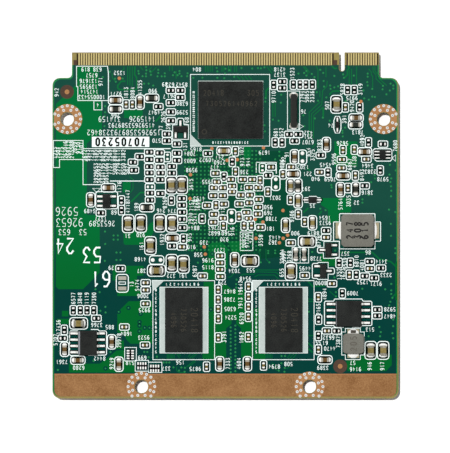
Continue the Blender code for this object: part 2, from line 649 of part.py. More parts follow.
def build_coil(name, width, length, height, corner, clip_width, ferrite, tin):
    """Moulded coil block with a folded clip at each end along X: a foot underneath and a riser."""
    bm = bmesh.new()
    full = cut_corner_rectangle(width, length, corner)
    top = cut_corner_rectangle(width - 2 * COIL_EDGE, length - 2 * COIL_EDGE, corner)
    stack(bm, [(full, CLIP_THICKNESS / 2), (full, height - COIL_EDGE), (top, height)])
    coil = add_object(name, make_mesh(name, bm, ferrite))

    bm = bmesh.new()
    middle = CLIP_THICKNESS / 2
    path = [
        Vector((width / 2 - CLIP_FOOT, middle)), Vector((width / 2, middle)),
        Vector((width / 2, min(CLIP_RISE, height - 2 * COIL_EDGE)))
    ]
    outline = bent_strip(path, CLIP_THICKNESS)
    for side in (-1, 1):
        add_strip(bm, outline, side, 0.0, clip_width)
    clips = add_tool(f"{name}_clips", make_mesh(f"{name}_clips", bm, tin), coil)
    join_by_boolean(coil, clips, "UNION")
    return coil


def build_coils(ferrite, tin):
    large = build_coil(
        "power_coil_large", LARGE_COIL_SIZE, LARGE_COIL_SIZE, LARGE_COIL_HEIGHT, LARGE_COIL_CORNER,
        LARGE_COIL_CLIP, ferrite, tin
    )
    seat_on_top(large, (357.4, 230.5))
    small = build_coil(
        "power_coil_small", SMALL_COIL_LENGTH, SMALL_COIL_WIDTH, SMALL_COIL_HEIGHT, SMALL_COIL_CORNER,
        SMALL_COIL_CLIP, ferrite, tin
    )
    seat_on_top(small, (353.3, 343.5), UPRIGHT)
    for number, at in enumerate(BUCK_COILS, start=1):
        coil = build_coil(
            f"buck_coil_{number}", BUCK_COIL_SIZE, BUCK_COIL_SIZE, BUCK_COIL_HEIGHT, BUCK_COIL_CORNER,
            BUCK_COIL_CLIP, ferrite, tin
        )
        seat_underneath(coil, at)


def build_gull_wing(name, body, reach, lead_width, left_leads, right_leads, mould, tin):
    """Moulded body with drafted sides and formed leads that leave it at the parting line.

    body is width across the leads, length and height; left_leads and right_leads are the leads' places
    along Y.
    """
    width, length, height = body
    parting = (MOULD_STANDOFF + height) / 2
    waist = rectangle(width, length)
    end = rectangle(width - 2 * MOULD_DRAFT, length - 2 * MOULD_DRAFT)
    bm = bmesh.new()
    stack(bm, [(end, MOULD_STANDOFF), (waist, parting), (end, height)])
    package = add_object(name, make_mesh(name, bm, mould))

    foot_level = LEAD_THICKNESS / 2
    tip = width / 2 + reach
    path = [
        Vector((width / 2 - LEAD_ROOT, parting)),
        Vector((width / 2 + reach * LEAD_SHOULDER_SHARE, parting)),
        Vector((tip - reach * LEAD_FOOT_SHARE, foot_level)),
        Vector((tip, foot_level)),
    ]
    outline = bent_strip(path, LEAD_THICKNESS)
    bm = bmesh.new()
    for side, places in ((-1, left_leads), (1, right_leads)):
        for place in places:
            add_strip(bm, outline, side, place, lead_width)
    leads = add_tool(f"{name}_leads", make_mesh(f"{name}_leads", bm, tin), package)
    join_by_boolean(package, leads, "UNION")
    return package


def build_gull_wing_parts(mould, tin):
    four = [SOIC_PITCH * step for step in (-1.5, -0.5, 0.5, 1.5)]
    narrow = (SOIC_NARROW_WIDTH, SOIC_LENGTH, SOIC_HEIGHT)
    wide = (SOIC_WIDE_WIDTH, SOIC_WIDE_LENGTH, SOIC_HEIGHT)
    chip = build_gull_wing(
        "boot_chip_left", narrow, SOIC_NARROW_REACH, SOIC_LEAD_WIDTH, four, four, mould, tin
    )
    seat_on_top(chip, (87.6, 342.8))
    chip = build_gull_wing("boot_chip_right", wide, SOIC_WIDE_REACH, SOIC_LEAD_WIDTH, four, four, mould, tin)
    seat_on_top(chip, (348.4, 313.4))

    body = (SOT_NARROW_WIDTH, SOT_LENGTH, SOT_HEIGHT)
    pair = [-SOT_PITCH, SOT_PITCH]
    for name, at, turn in (
        ("transistor_upper", (180.4, 129.2), -UPRIGHT),
        ("transistor_middle", (328.4, 249.9), LEVEL),
        ("transistor_lower", (323.1, 270.9), math.pi),
    ):
        chip = build_gull_wing(name, body, SOT_REACH, SOT_LEAD_WIDTH, [0.0], pair, mould, tin)
        seat_on_top(chip, at, turn)

    body = (SOT_WIDE_WIDTH, SOT_LENGTH, SOT_HEIGHT)
    three = [-SOT_PITCH, 0.0, SOT_PITCH]
    chip = build_gull_wing(
        "regulator_five_lead", body, SOT_REACH, SOT_LEAD_WIDTH, three, pair, mould, tin
    )
    seat_on_top(chip, (106.6, 201.1))

    body = (SC_WIDTH, SC_LENGTH, SC_HEIGHT)
    three = [-SC_PITCH, 0.0, SC_PITCH]
    chip = build_gull_wing("switch_six_lead", body, SC_REACH, SC_LEAD_WIDTH, three, three, mould, tin)
    seat_on_top(chip, (382.5, 154.8))

    body = (DIODE_WIDTH, DIODE_LENGTH, DIODE_HEIGHT)
    chip = build_gull_wing("diode_flat", body, DIODE_REACH, DIODE_LEAD_WIDTH, [0.0], [0.0], mould, tin)
    seat_on_top(chip, (312.5, 199.8))
    body = (SMALL_DIODE_WIDTH, SMALL_DIODE_LENGTH, SMALL_DIODE_HEIGHT)
    chip = build_gull_wing(
        "diode_small", body, SMALL_DIODE_REACH, DIODE_LEAD_WIDTH, [0.0], [0.0], mould, tin
    )
    seat_on_top(chip, (337.4, 124.7), UPRIGHT)


def capped_chip_mesh(name, length, width, height, cap, material):
    """A chip part lofted along X: a body between two dipped end caps that stand a little proud."""
    def section(x, inset):
        half_y = width / 2 - inset
        half_z = height / 2 - inset
        corners = cut_corner_rectangle(2 * half_y, 2 * half_z, CHIP_EDGE)
        return [(x, y, z + height / 2) for y, z in corners]

    end = length / 2
    bm = bmesh.new()
    loft(bm, [
        section(-end, CHIP_EDGE),
        section(-end + CHIP_EDGE, 0.0),
        section(-end + cap, 0.0),
        section(-end + cap, CHIP_CAP_STEP),
        section(end - cap, CHIP_CAP_STEP),
        section(end - cap, 0.0),
        section(end - CHIP_EDGE, 0.0),
        section(end, CHIP_EDGE),
    ])
    return make_mesh(name, bm, material)


def build_capped_chips(ceramic, silver):
    mesh = capped_chip_mesh(
        "large_capacitor", LARGE_CHIP_LENGTH, LARGE_CHIP_WIDTH, LARGE_CHIP_HEIGHT, LARGE_CHIP_CAP, ceramic
    )
    for number, (x, y, turn) in enumerate(LARGE_CAPACITORS, start=1):
        seat_on_top(add_object(f"capacitor_{number:02d}", mesh), (x, y), turn)
    for number, at in enumerate(BULK_CAPACITORS, start=1):
        seat_underneath(add_object(f"bulk_capacitor_{number}", mesh), at)
    mesh = capped_chip_mesh("bead", BEAD_LENGTH, BEAD_WIDTH, BEAD_HEIGHT, BEAD_CAP, silver)
    for name, x, y in BEADS:
        seat_on_top(add_object(name, mesh), (x, y), UPRIGHT)


def build_resistor_arrays(ceramic):
    """Four resistors on one slab, with four raised ends along each long side."""
    half_width = ARRAY_WIDTH / 2
    places = [ARRAY_PITCH * step for step in (-1.5, -0.5, 0.5, 1.5)]
    side = [(-ARRAY_LENGTH / 2, -half_width)]
    for place in places:
        left = place - ARRAY_TAB_WIDTH / 2
        right = place + ARRAY_TAB_WIDTH / 2
        outer = -half_width - ARRAY_TAB_REACH
        side += [(left, -half_width), (left, outer), (right, outer), (right, -half_width)]
    side.append((ARRAY_LENGTH / 2, -half_width))
    outline = side + [(-x, -y) for x, y in side]
    bm = bmesh.new()
    stack(bm, [(outline, 0.0), (outline, ARRAY_HEIGHT)])
    mesh = make_mesh("resistor_array", bm, ceramic)
    for number, (x, y, turn) in enumerate(RESISTOR_ARRAYS, start=1):
        seat_on_top(add_object(f"resistor_array_{number}", mesh), (x, y), turn)


clear_scene()
solder_mask = make_material("solder_mask", (0.005, 0.135, 0.055), 0.35, 0.0)
gold_plate = make_material("gold_plate", (0.72, 0.50, 0.16), 0.3, 1.0)
chip_tan = make_material("chip_tan", (0.30, 0.16, 0.06), 0.5, 0.0)
black_mould = make_material("black_mould", (0.018, 0.019, 0.021), 0.55, 0.0)
green_carrier = make_material("green_carrier", (0.02, 0.11, 0.05), 0.4, 0.0)
plated_lid = make_material("plated_lid", (0.55, 0.55, 0.53), 0.35, 1.0)
grey_ferrite = make_material("grey_ferrite", (0.22, 0.215, 0.19), 0.6, 0.0)
tinned = make_material("tinned", (0.70, 0.69, 0.66), 0.35, 1.0)
tan_ceramic = make_material("tan_ceramic", (0.42, 0.29, 0.11), 0.45, 0.0)
dark_ceramic = make_material("dark_ceramic", (0.03, 0.03, 0.03), 0.5, 0.0)

build_board(solder_mask, gold_plate, chip_tan)
build_ball_grid_packages(black_mould)
build_processor(green_carrier, plated_lid)
build_leadless_chips(black_mould)
build_clock_crystals(plated_lid)
build_watch_crystal(black_mould, tinned)
build_coils(grey_ferrite, tinned)
build_gull_wing_parts(black_mould, tinned)
build_capped_chips(tan_ceramic, tinned)
build_resistor_arrays(dark_ceramic)
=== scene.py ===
import math

import bmesh
import bpy
from mathutils import Matrix, Vector


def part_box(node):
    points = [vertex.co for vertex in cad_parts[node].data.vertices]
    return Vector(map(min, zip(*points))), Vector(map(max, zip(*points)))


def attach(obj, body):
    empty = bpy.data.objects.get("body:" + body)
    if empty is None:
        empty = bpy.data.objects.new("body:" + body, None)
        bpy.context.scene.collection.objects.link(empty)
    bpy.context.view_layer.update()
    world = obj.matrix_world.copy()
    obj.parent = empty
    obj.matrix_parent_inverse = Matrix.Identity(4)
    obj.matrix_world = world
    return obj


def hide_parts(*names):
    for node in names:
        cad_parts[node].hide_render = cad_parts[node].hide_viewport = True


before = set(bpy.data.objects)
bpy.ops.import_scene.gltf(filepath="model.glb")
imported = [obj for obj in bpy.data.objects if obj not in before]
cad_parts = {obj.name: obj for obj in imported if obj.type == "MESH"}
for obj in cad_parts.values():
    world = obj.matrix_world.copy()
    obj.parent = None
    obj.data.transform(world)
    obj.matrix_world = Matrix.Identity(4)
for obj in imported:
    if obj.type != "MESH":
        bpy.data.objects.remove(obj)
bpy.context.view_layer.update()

# Laminate: 1.2 mm of glass cloth in epoxy, routed to its outline from a larger panel. It is a square with a
# narrower tongue at one end, a key slot in the tongue and four drilled bores, and it carries everything else.
SEEN_FACE = 0.0034
HIDDEN_FACE = 0.0022
PIXEL = 0.07 / 346.2
STUDIO_SHARE = 0.74
RELIEF_DEPTH = 0.00005
BORE_RADIUS = 0.00135
BORES = ((-0.032, 0.0215), (0.032, 0.0215), (-0.017, -0.0326), (0.017, -0.0326))
LAMINATE_CORNERS = (
    (-0.035, -0.035, 0.0016), (0.035, -0.035, 0.0016), (0.035, 0.02983, 0.0015), (0.03105, 0.02983, 0.00085),
    (0.03105, 0.035, 0.00015), (0.0241, 0.035, 0.0), (0.0241, 0.0312, 0.00054), (0.0230, 0.0312, 0.00054),
    (0.0230, 0.035, 0.0), (-0.03105, 0.035, 0.00015), (-0.03105, 0.02983, 0.00085), (-0.035, 0.02983, 0.0015),
)


def spot(px, py):
    """Place on the board of a point of the photograph."""
    return (px - 225.5) * PIXEL, (225.4 - py) * PIXEL


def colour(red, green, blue):
    """Linear base colour for the 0 to 255 values seen under the studio light; white ink goes past 255."""
    return [STUDIO_SHARE * (value / 255) ** 2.2 for value in (red, green, blue)] + [1.0]


def add_node(tree, kind, inputs=(), **settings):
    """A new shader node with its settings and the values of its inputs."""
    made = tree.nodes.new(f"ShaderNode{kind}")
    for setting, value in settings.items():
        setattr(made, setting, value)
    for socket, value in inputs:
        made.inputs[socket].default_value = value
    return made


def join(tree, *wires):
    """Join nodes; each wire is a node, its output, the next node and its input."""
    for source, output, target, socket in wires:
        tree.links.new(source.outputs[output], target.inputs[socket])


def build_grain():
    """Mottling on two scales that every finish shares."""
    tree = bpy.data.node_groups.new("Grain", "ShaderNodeTree")
    for side, names in (
        ("INPUT", ("Colour", "Fleck", "Scale", "Amount", "Roughness", "Unevenness")),
        ("OUTPUT", ("Colour", "Roughness", "Height")),
    ):
        for name in names:
            kind = "NodeSocketColor" if name in ("Colour", "Fleck") else "NodeSocketFloat"
            tree.interface.new_socket(name, in_out=side, socket_type=kind)
    given = tree.nodes.new("NodeGroupInput")
    result = tree.nodes.new("NodeGroupOutput")
    place = add_node(tree, "TexCoord")
    fine = add_node(tree, "TexNoise", [("Detail", 2.0)])
    broad = add_node(tree, "TexNoise", [("Detail", 1.0)])
    broad_scale = add_node(tree, "Math", [(1, 0.09)], operation="MULTIPLY")
    both = add_node(tree, "Mix", [(0, 0.35)])
    spread = add_node(tree, "MapRange", [("From Min", 0.32), ("From Max", 0.68)])
    share = add_node(tree, "Math", operation="MULTIPLY")
    tint = add_node(tree, "Mix", data_type="RGBA")
    rough = add_node(tree, "Math", operation="MULTIPLY_ADD")
    join(
        tree, (place, "Object", fine, "Vector"), (place, "Object", broad, "Vector"), (given, "Scale", fine, "Scale"),
        (given, "Scale", broad_scale, 0), (broad_scale, 0, broad, "Scale"), (fine, 0, both, 2), (broad, 0, both, 3),
        (both, 0, spread, "Value"), (spread, 0, share, 0), (given, "Amount", share, 1), (share, 0, tint, 0),
        (given, "Colour", tint, 6), (given, "Fleck", tint, 7), (tint, 2, result, "Colour"), (spread, 0, rough, 0),
        (given, "Unevenness", rough, 1), (given, "Roughness", rough, 2), (rough, 0, result, "Roughness"),
        (spread, 0, result, "Height"),
    )
    return tree


GRAIN = build_grain()


def make_finish(name, base, fleck, scale, amount, roughness, unevenness=0.1, metallic=0.0, relief=0.1, gloss=0.5):
    """A finish with fine mottling, uneven gloss and relief; scale is in grains per metre."""
    finish = bpy.data.materials.new(name)
    finish.use_nodes = True
    tree = finish.node_tree
    shader = tree.nodes["Principled BSDF"]
    shader.inputs["Metallic"].default_value = metallic
    shader.inputs["Specular IOR Level"].default_value = gloss
    grain = tree.nodes.new("ShaderNodeGroup")
    grain.name = "grain"
    grain.node_tree = GRAIN
    for socket, value in (
        ("Colour", colour(*base)), ("Fleck", colour(*fleck)), ("Scale", scale), ("Amount", amount),
        ("Roughness", roughness), ("Unevenness", unevenness),
    ):
        grain.inputs[socket].default_value = value
    bump = add_node(tree, "Bump", [("Strength", relief), ("Distance", RELIEF_DEPTH)])
    join(
        tree, (grain, "Colour", shader, "Base Color"), (grain, "Roughness", shader, "Roughness"),
        (grain, "Height", bump, "Height"), (bump, "Normal", shader, "Normal"),
    )
    return finish


def add_piece(name, bm, finish, nodes=()):
    """Make a finished bmesh into a piece that rides on the module and stands for the CAD nodes named."""
    bmesh.ops.recalc_face_normals(bm, faces=bm.faces)
    mesh = bpy.data.meshes.new(name)
    bm.to_mesh(mesh)
    bm.free()
    mesh.materials.append(finish)
    mesh.shade_smooth()
    mesh.set_sharp_from_angle(angle=math.radians(38))
    piece = bpy.data.objects.new(name, mesh)
    bpy.context.scene.collection.objects.link(piece)
    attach(piece, "root")
    if nodes:
        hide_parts(*nodes)
    return piece


def ease(bm, edges, offset, segments=1):
    """Round or chamfer edges."""
    return bmesh.ops.bevel(
        bm, geom=edges, offset=offset, offset_type="OFFSET", segments=segments, profile=0.5, affect="EDGES",
        material=-1
    )


def raise_faces(bm, faces, rise):
    """Extrude flat faces into a solid."""
    raised = bmesh.ops.extrude_face_region(bm, geom=faces)["geom"]
    lifted = [item for item in raised if isinstance(item, bmesh.types.BMVert)]
    bmesh.ops.translate(bm, vec=(0.0, 0.0, rise), verts=lifted)


def circle_edges(bm, x, y, radius, level):
    """Edges of a new circle."""
    made = bmesh.ops.create_circle(
        bm, cap_ends=False, segments=40, radius=radius, matrix=Matrix.Translation((x, y, level))
    )
    return list({edge for vert in made["verts"] for edge in vert.link_edges})


def rectangle(left, bottom, right, top, radius=0.0):
    """Corners of a rectangle, each with its radius."""
    return (left, bottom, radius), (right, bottom, radius), (right, top, radius), (left, top, radius)


def field(left, top, right, bottom):
    """Corners of a rectangle in the photograph."""
    return (left, top), (right, top), (right, bottom), (left, bottom)


def sharp(outline):
    """Corners of an outline in the photograph, none of them rounded."""
    return [(*spot(px, py), 0.0) for px, py in outline]


def plate(bm, corners, bottom, top, bores=()):
    """A flat plate from its corners, each with its radius, and the bores through it."""
    others = set(bm.faces)
    verts = [bm.verts.new((x, y, bottom)) for x, y, radius in corners]
    bm.faces.new(verts)
    rounded = {}
    for vert, (x, y, radius) in zip(verts, corners):
        if radius:
            rounded.setdefault(radius, []).append(vert)
    for radius, group in rounded.items():
        bmesh.ops.bevel(
            bm, geom=group, offset=radius, offset_type="OFFSET", segments=6, profile=0.5, affect="VERTICES",
            material=-1
        )
    face = next(item for item in bm.faces if item not in others)
    if bores:
        edges = list(face.edges)
        bmesh.ops.delete(bm, geom=[face], context="FACES_ONLY")
        for x, y, radius in bores:
            edges += circle_edges(bm, x, y, radius, bottom)
        filled = bmesh.ops.triangle_fill(bm, use_beauty=True, edges=edges)["geom"]
        faces = [item for item in filled if isinstance(item, bmesh.types.BMFace)]
    else:
        faces = [face]
    raise_faces(bm, faces, top - bottom)


bm = bmesh.new()
plate(bm, LAMINATE_CORNERS, HIDDEN_FACE, SEEN_FACE, [(x, y, BORE_RADIUS) for x, y in BORES])
tongue_end = [
    edge for edge in bm.edges
    if min(vert.co.y for vert in edge.verts) > 0.03499
    and abs(edge.verts[0].co.z - edge.verts[1].co.z) < 0.0001
]
bmesh.ops.recalc_face_normals(bm, faces=bm.faces)
ease(bm, tongue_end, 0.0002)
laminate_finish = make_finish("laminate", (196, 178, 112), (172, 150, 84), 2500.0, 0.7, 0.55, relief=0.2)
tree = laminate_finish.node_tree
place = add_node(tree, "TexCoord")
layers = add_node(
    tree, "TexWave", [("Scale", 1700.0), ("Distortion", 1.5), ("Detail Scale", 3.0)], bands_direction="Z"
)
side = add_node(tree, "Mix", [(6, colour(150, 136, 96)), (7, colour(104, 90, 56))], data_type="RGBA")
axes = add_node(tree, "SeparateXYZ")
from_middle = add_node(tree, "Math", [(1, (SEEN_FACE + HIDDEN_FACE) / 2)], operation="SUBTRACT")
distance = add_node(tree, "Math", operation="ABSOLUTE")
on_face = add_node(tree, "Math", [(1, 0.00059)], operation="GREATER_THAN")
face_or_side = add_node(tree, "Mix", [(7, colour(138, 132, 84))], data_type="RGBA")
# Past the start of the tongue end's chamfer the laminate is coloured darker.
milled_end = add_node(tree, "Math", [(1, 0.0348)], operation="GREATER_THAN")
end_or_rest = add_node(tree, "Mix", [(7, colour(92, 80, 50))], data_type="RGBA")
join(
    tree, (place, "Object", layers, "Vector"), (place, "Object", axes, "Vector"), (axes, "Z", from_middle, 0),
    (from_middle, 0, distance, 0), (distance, 0, on_face, 0), (on_face, 0, face_or_side, 0),
    (layers, "Fac", side, 0), (side, 2, face_or_side, 6), (axes, "Y", milled_end, 0),
    (milled_end, 0, end_or_rest, 0), (face_or_side, 2, end_or_rest, 6),
    (end_or_rest, 2, tree.nodes["grain"], "Colour"),
)
add_piece("laminate", bm, laminate_finish, ["circuit_board"])

# Solder mask: a thin green lacquer printed over both faces. It stops short of the routed edges and leaves the
# contact end of the tongue bare.
MASK_RISE = 0.00002
MASK_DEPTH = 0.00003
SHEEN_START = -0.012
SHEEN_END = 0.004
MASK_RIM = 0.00024
MASK_CORNERS = (
    (-0.03490, -0.0346, 0.0013), (0.03478, -0.0346, 0.0013), (0.03478, 0.02978, 0.0014), (0.03102, 0.02978, 0.0009),
    (0.03102, 0.03245, 0.0), (0.02418, 0.03245, 0.0), (0.02418, 0.03112, 0.0006), (0.02292, 0.03112, 0.0006),
    (0.02292, 0.03245, 0.0), (-0.03102, 0.03245, 0.0), (-0.03102, 0.02978, 0.0009), (-0.03490, 0.02978, 0.0014),
)


def lacquer(name, far, near, far_fleck):
    """Green lacquer whose colour shifts a little from its own colour to a lighter, greyer painted sheen at the tongue
    end.
    """
    finish = make_finish(name, far, far_fleck, 3500.0, 0.25, 0.32, 0.12, relief=0.12, gloss=0.18)
    tree = finish.node_tree
    place = add_node(tree, "TexCoord")
    axes = add_node(tree, "SeparateXYZ")
    along = add_node(tree, "MapRange", [("From Min", SHEEN_START), ("From Max", SHEEN_END)])
    sheen_mix = add_node(tree, "Mix", [(6, colour(*near)), (7, colour(*far))], data_type="RGBA")
    join(
        tree, (place, "Object", axes, "Vector"), (axes, "Y", along, "Value"), (along, 0, sheen_mix, 0),
        (sheen_mix, 2, tree.nodes["grain"], "Colour"),
    )
    return finish


# The first colour of each lacquer is its painted sheen towards the tongue end, the second its own colour.
mask_finish = lacquer("solder_mask", (31, 81, 68), (0, 66, 60), (20, 68, 60))
# The rim plate shows as a strip along the side edges and shoulders, coloured a lighter green.
rim_finish = lacquer("mask_lighter_edge", (40, 138, 80), (24, 132, 72), (26, 112, 66))
mask_bores = [(x, y, BORE_RADIUS + 0.00015) for x, y in BORES]
mask_field = [
    (x - math.copysign(MASK_RIM, x) if abs(x) > 0.030 else x, y - MASK_RIM if 0.0290 < y < 0.0310 else y, radius)
    for x, y, radius in MASK_CORNERS
]
for name, corners, finish, rise in (
    ("mask_rim", MASK_CORNERS, rim_finish, MASK_RISE / 2), ("mask", mask_field, mask_finish, MASK_RISE),
):
    for face, bottom, top in (
        ("seen", SEEN_FACE - MASK_DEPTH, SEEN_FACE + rise), ("hidden", HIDDEN_FACE - rise, HIDDEN_FACE + MASK_DEPTH),
    ):
        bm = bmesh.new()
        plate(bm, corners, bottom, top, mask_bores)
        add_piece(f"{name}_{face}", bm, finish)

# Copper planes under the lacquer: areas of copper left on the face, where the green looks lighter and warmer.
# They stand a copper foil's thickness above the rest.
PLANE_RISE = 0.00003
PLANES = (
    ((55.8, 104), (76, 85), (76.5, 66.5), (98.5, 66.5), (98.5, 100.5), (102, 100.5), (102, 133), (92, 138.5),
     (86.8, 143.5), (86.8, 215), (99.7, 215), (99.7, 272.5), (83, 289.2), (58.5, 289.2), (55.8, 286.5)),
    field(124, 110, 142.6, 118), ((68.8, 372.6), (68.8, 363.7), (99.7, 363.7), (108.2, 357.4), (116.6, 350.6),
     (124.6, 349.8), (124.6, 360.1), (134.9, 360.9), (134.9, 372.6)), ((117.3, 312.3), (117.3, 332.2),
     (123.9, 334.5), (126.5, 339.8), (130.4, 343.7), (152.2, 343.7), (152.2, 301.2), (128.8, 301.2)),
    field(115.8, 340.6, 123.9, 349), field(56.9, 318.8, 69.1, 323.8), field(61.9, 310.8, 68.4, 316.5),
    ((203.6, 281.8), (214, 281.8), (214, 359), (202.5, 359), (202.5, 353.6), (208.4, 353.6), (208.4, 287.4),
     (203.6, 287.4)), ((215.1, 308.5), (231.6, 308.5), (231.6, 323.8), (226.2, 328.4), (226.2, 357.4),
     (215.1, 357.4)), ((253, 308.5), (236.2, 308.5), (236.2, 323.8), (241.1, 328.4), (241.1, 357.4),
     (253, 357.4)), ((253.8, 308.5), (258.6, 308.5), (258.6, 353.6), (265.3, 353.6), (265.3, 359),
     (253.8, 359)), ((346.2, 359.6), (360.8, 359.6), (360.8, 354.6), (391.8, 354.6), (391.8, 365.1),
     (386.1, 371.1), (347.6, 371.1)), ((122.7, 181.9), (130.7, 181.9), (130.7, 188.8), (127.3, 192.2),
     (122.7, 192.2)), field(243.8, 146.7, 250.7, 159), field(334.4, 141.4, 357.4, 166.6), ((321, 198),
     (351.3, 198), (351.3, 212.5), (339, 212.5), (339, 222.5), (327.9, 222.5), (327.9, 209.5), (321, 204.9)),
    ((123.5, 230.6), (146, 230.6), (149.8, 223.5), (153.5, 221.5), (153.5, 232), (150, 238.5), (144.1, 238.5),
     (144.1, 244.8), (125, 244.8), (123.5, 243.2)), ((125.8, 265.8), (143.4, 265.8), (143.4, 275.7),
     (137, 275.7), (137, 289.5), (141.1, 289.5), (141.1, 296), (117.3, 296), (117.3, 291), (129.5, 291),
     (129.5, 273.8), (125.8, 273.8)), field(112.6, 264.5, 116.4, 280.4), ((208.6, 245.6), (212, 242.6),
     (222.5, 242.6), (227.6, 248), (227.6, 268), (224.6, 271), (224.6, 279.6), (203.3, 279.6), (203.3, 262),
     (208.6, 258)), ((228.6, 241.3), (244.6, 241.3), (244.6, 251.3), (240.8, 252), (231.6, 252)),
    ((222.4, 284.6), (226, 284.6), (232.5, 289.6), (244.6, 289.6), (244.6, 320.1), (222.4, 320.1)),
    ((320.5, 254), (323, 254), (323, 258.1), (335.6, 258.1), (335.6, 266), (328.5, 266), (328.5, 262.2),
     (320.5, 262.2)), ((395.4, 263), (397.3, 261), (397.3, 300), (395.4, 300)),
)
plane_finish = lacquer("mask_over_copper", (4, 115, 60), (0, 105, 46), (2, 100, 52))
bm = bmesh.new()
for index, outline in enumerate(PLANES):
    top = SEEN_FACE + PLANE_RISE + 0.0000002 * index
    plate(bm, sharp(outline), SEEN_FACE, top, mask_bores[:1] if index == 0 else ())
add_piece("planes_seen", bm, plane_finish)
fill_finish = lacquer("mask_over_fill", (14, 72, 54), (2, 60, 48), (16, 96, 56))
bm = bmesh.new()
fill = ((184.0, 151.0), (290.0, 151.0), (290.0, 256.0), (229.0, 262.0), (203.0, 262.0), (184.0, 240.0))
plate(bm, sharp(fill), SEEN_FACE, SEEN_FACE + 0.000026)
add_piece("fill_seen", bm, fill_finish)
bm = bmesh.new()
for box in (
    (-0.0340, -0.0290, -0.0260, 0.0150), (0.0190, -0.0290, 0.0340, -0.0120), (-0.0130, -0.0190, -0.0040, -0.0080),
    (0.0060, -0.0295, 0.0100, -0.0180), (0.0250, 0.0060, 0.0340, 0.0165), (-0.0240, 0.0180, -0.0100, 0.0290),
):
    plate(bm, rectangle(*box, 0.0006), HIDDEN_FACE - PLANE_RISE, HIDDEN_FACE)
add_piece("planes_hidden", bm, plane_finish)

# Tracks: narrow copper conductors under the lacquer, which show as raised lighter lines. Broad ones carry power.
BROAD_TRACKS = (
    ((134.9, 66.4), (134.6, 74.4), (136.6, 77.5), (136.9, 89.3), (119.6, 89.7), (117.7, 87.8), (117.7, 85.5),
     (121.2, 81.3), (125.4, 81.1)), ((113.5, 129.1), (148.7, 129.1), (151.8, 126.1)), ((155.6, 121.5),
     (161, 115.3)), ((347.8, 66), (349.3, 67.9), (347.4, 70.2), (347.4, 74.8), (344.4, 77.8)), ((331.7, 66),
     (334.8, 68.7), (337.1, 68.1)), ((329.4, 94.7), (332.5, 91.2), (339.8, 90.9)), ((323.3, 107.7),
     (323.3, 116.9)), ((131.1, 201.8), (140.3, 192.6), (144.9, 192.6)), ((268.7, 87.8), (266, 90.9),
     (266, 97.7)), ((306.5, 167.4), (310.3, 170.8)), ((303.4, 212.5), (308.4, 207.9)), ((318.7, 214.8),
     (321.8, 211)), ((340.2, 252.4), (372.3, 252.4), (379.2, 258.9), (390.7, 261.6), (396, 266.6), (396, 293.3),
     (391.4, 298.7)), ((308, 281.1), (312.6, 286.5), (324.9, 285.7)), ((308, 342.9), (313.4, 347.5)),
    ((308, 348.3), (312.6, 352.5)),
)
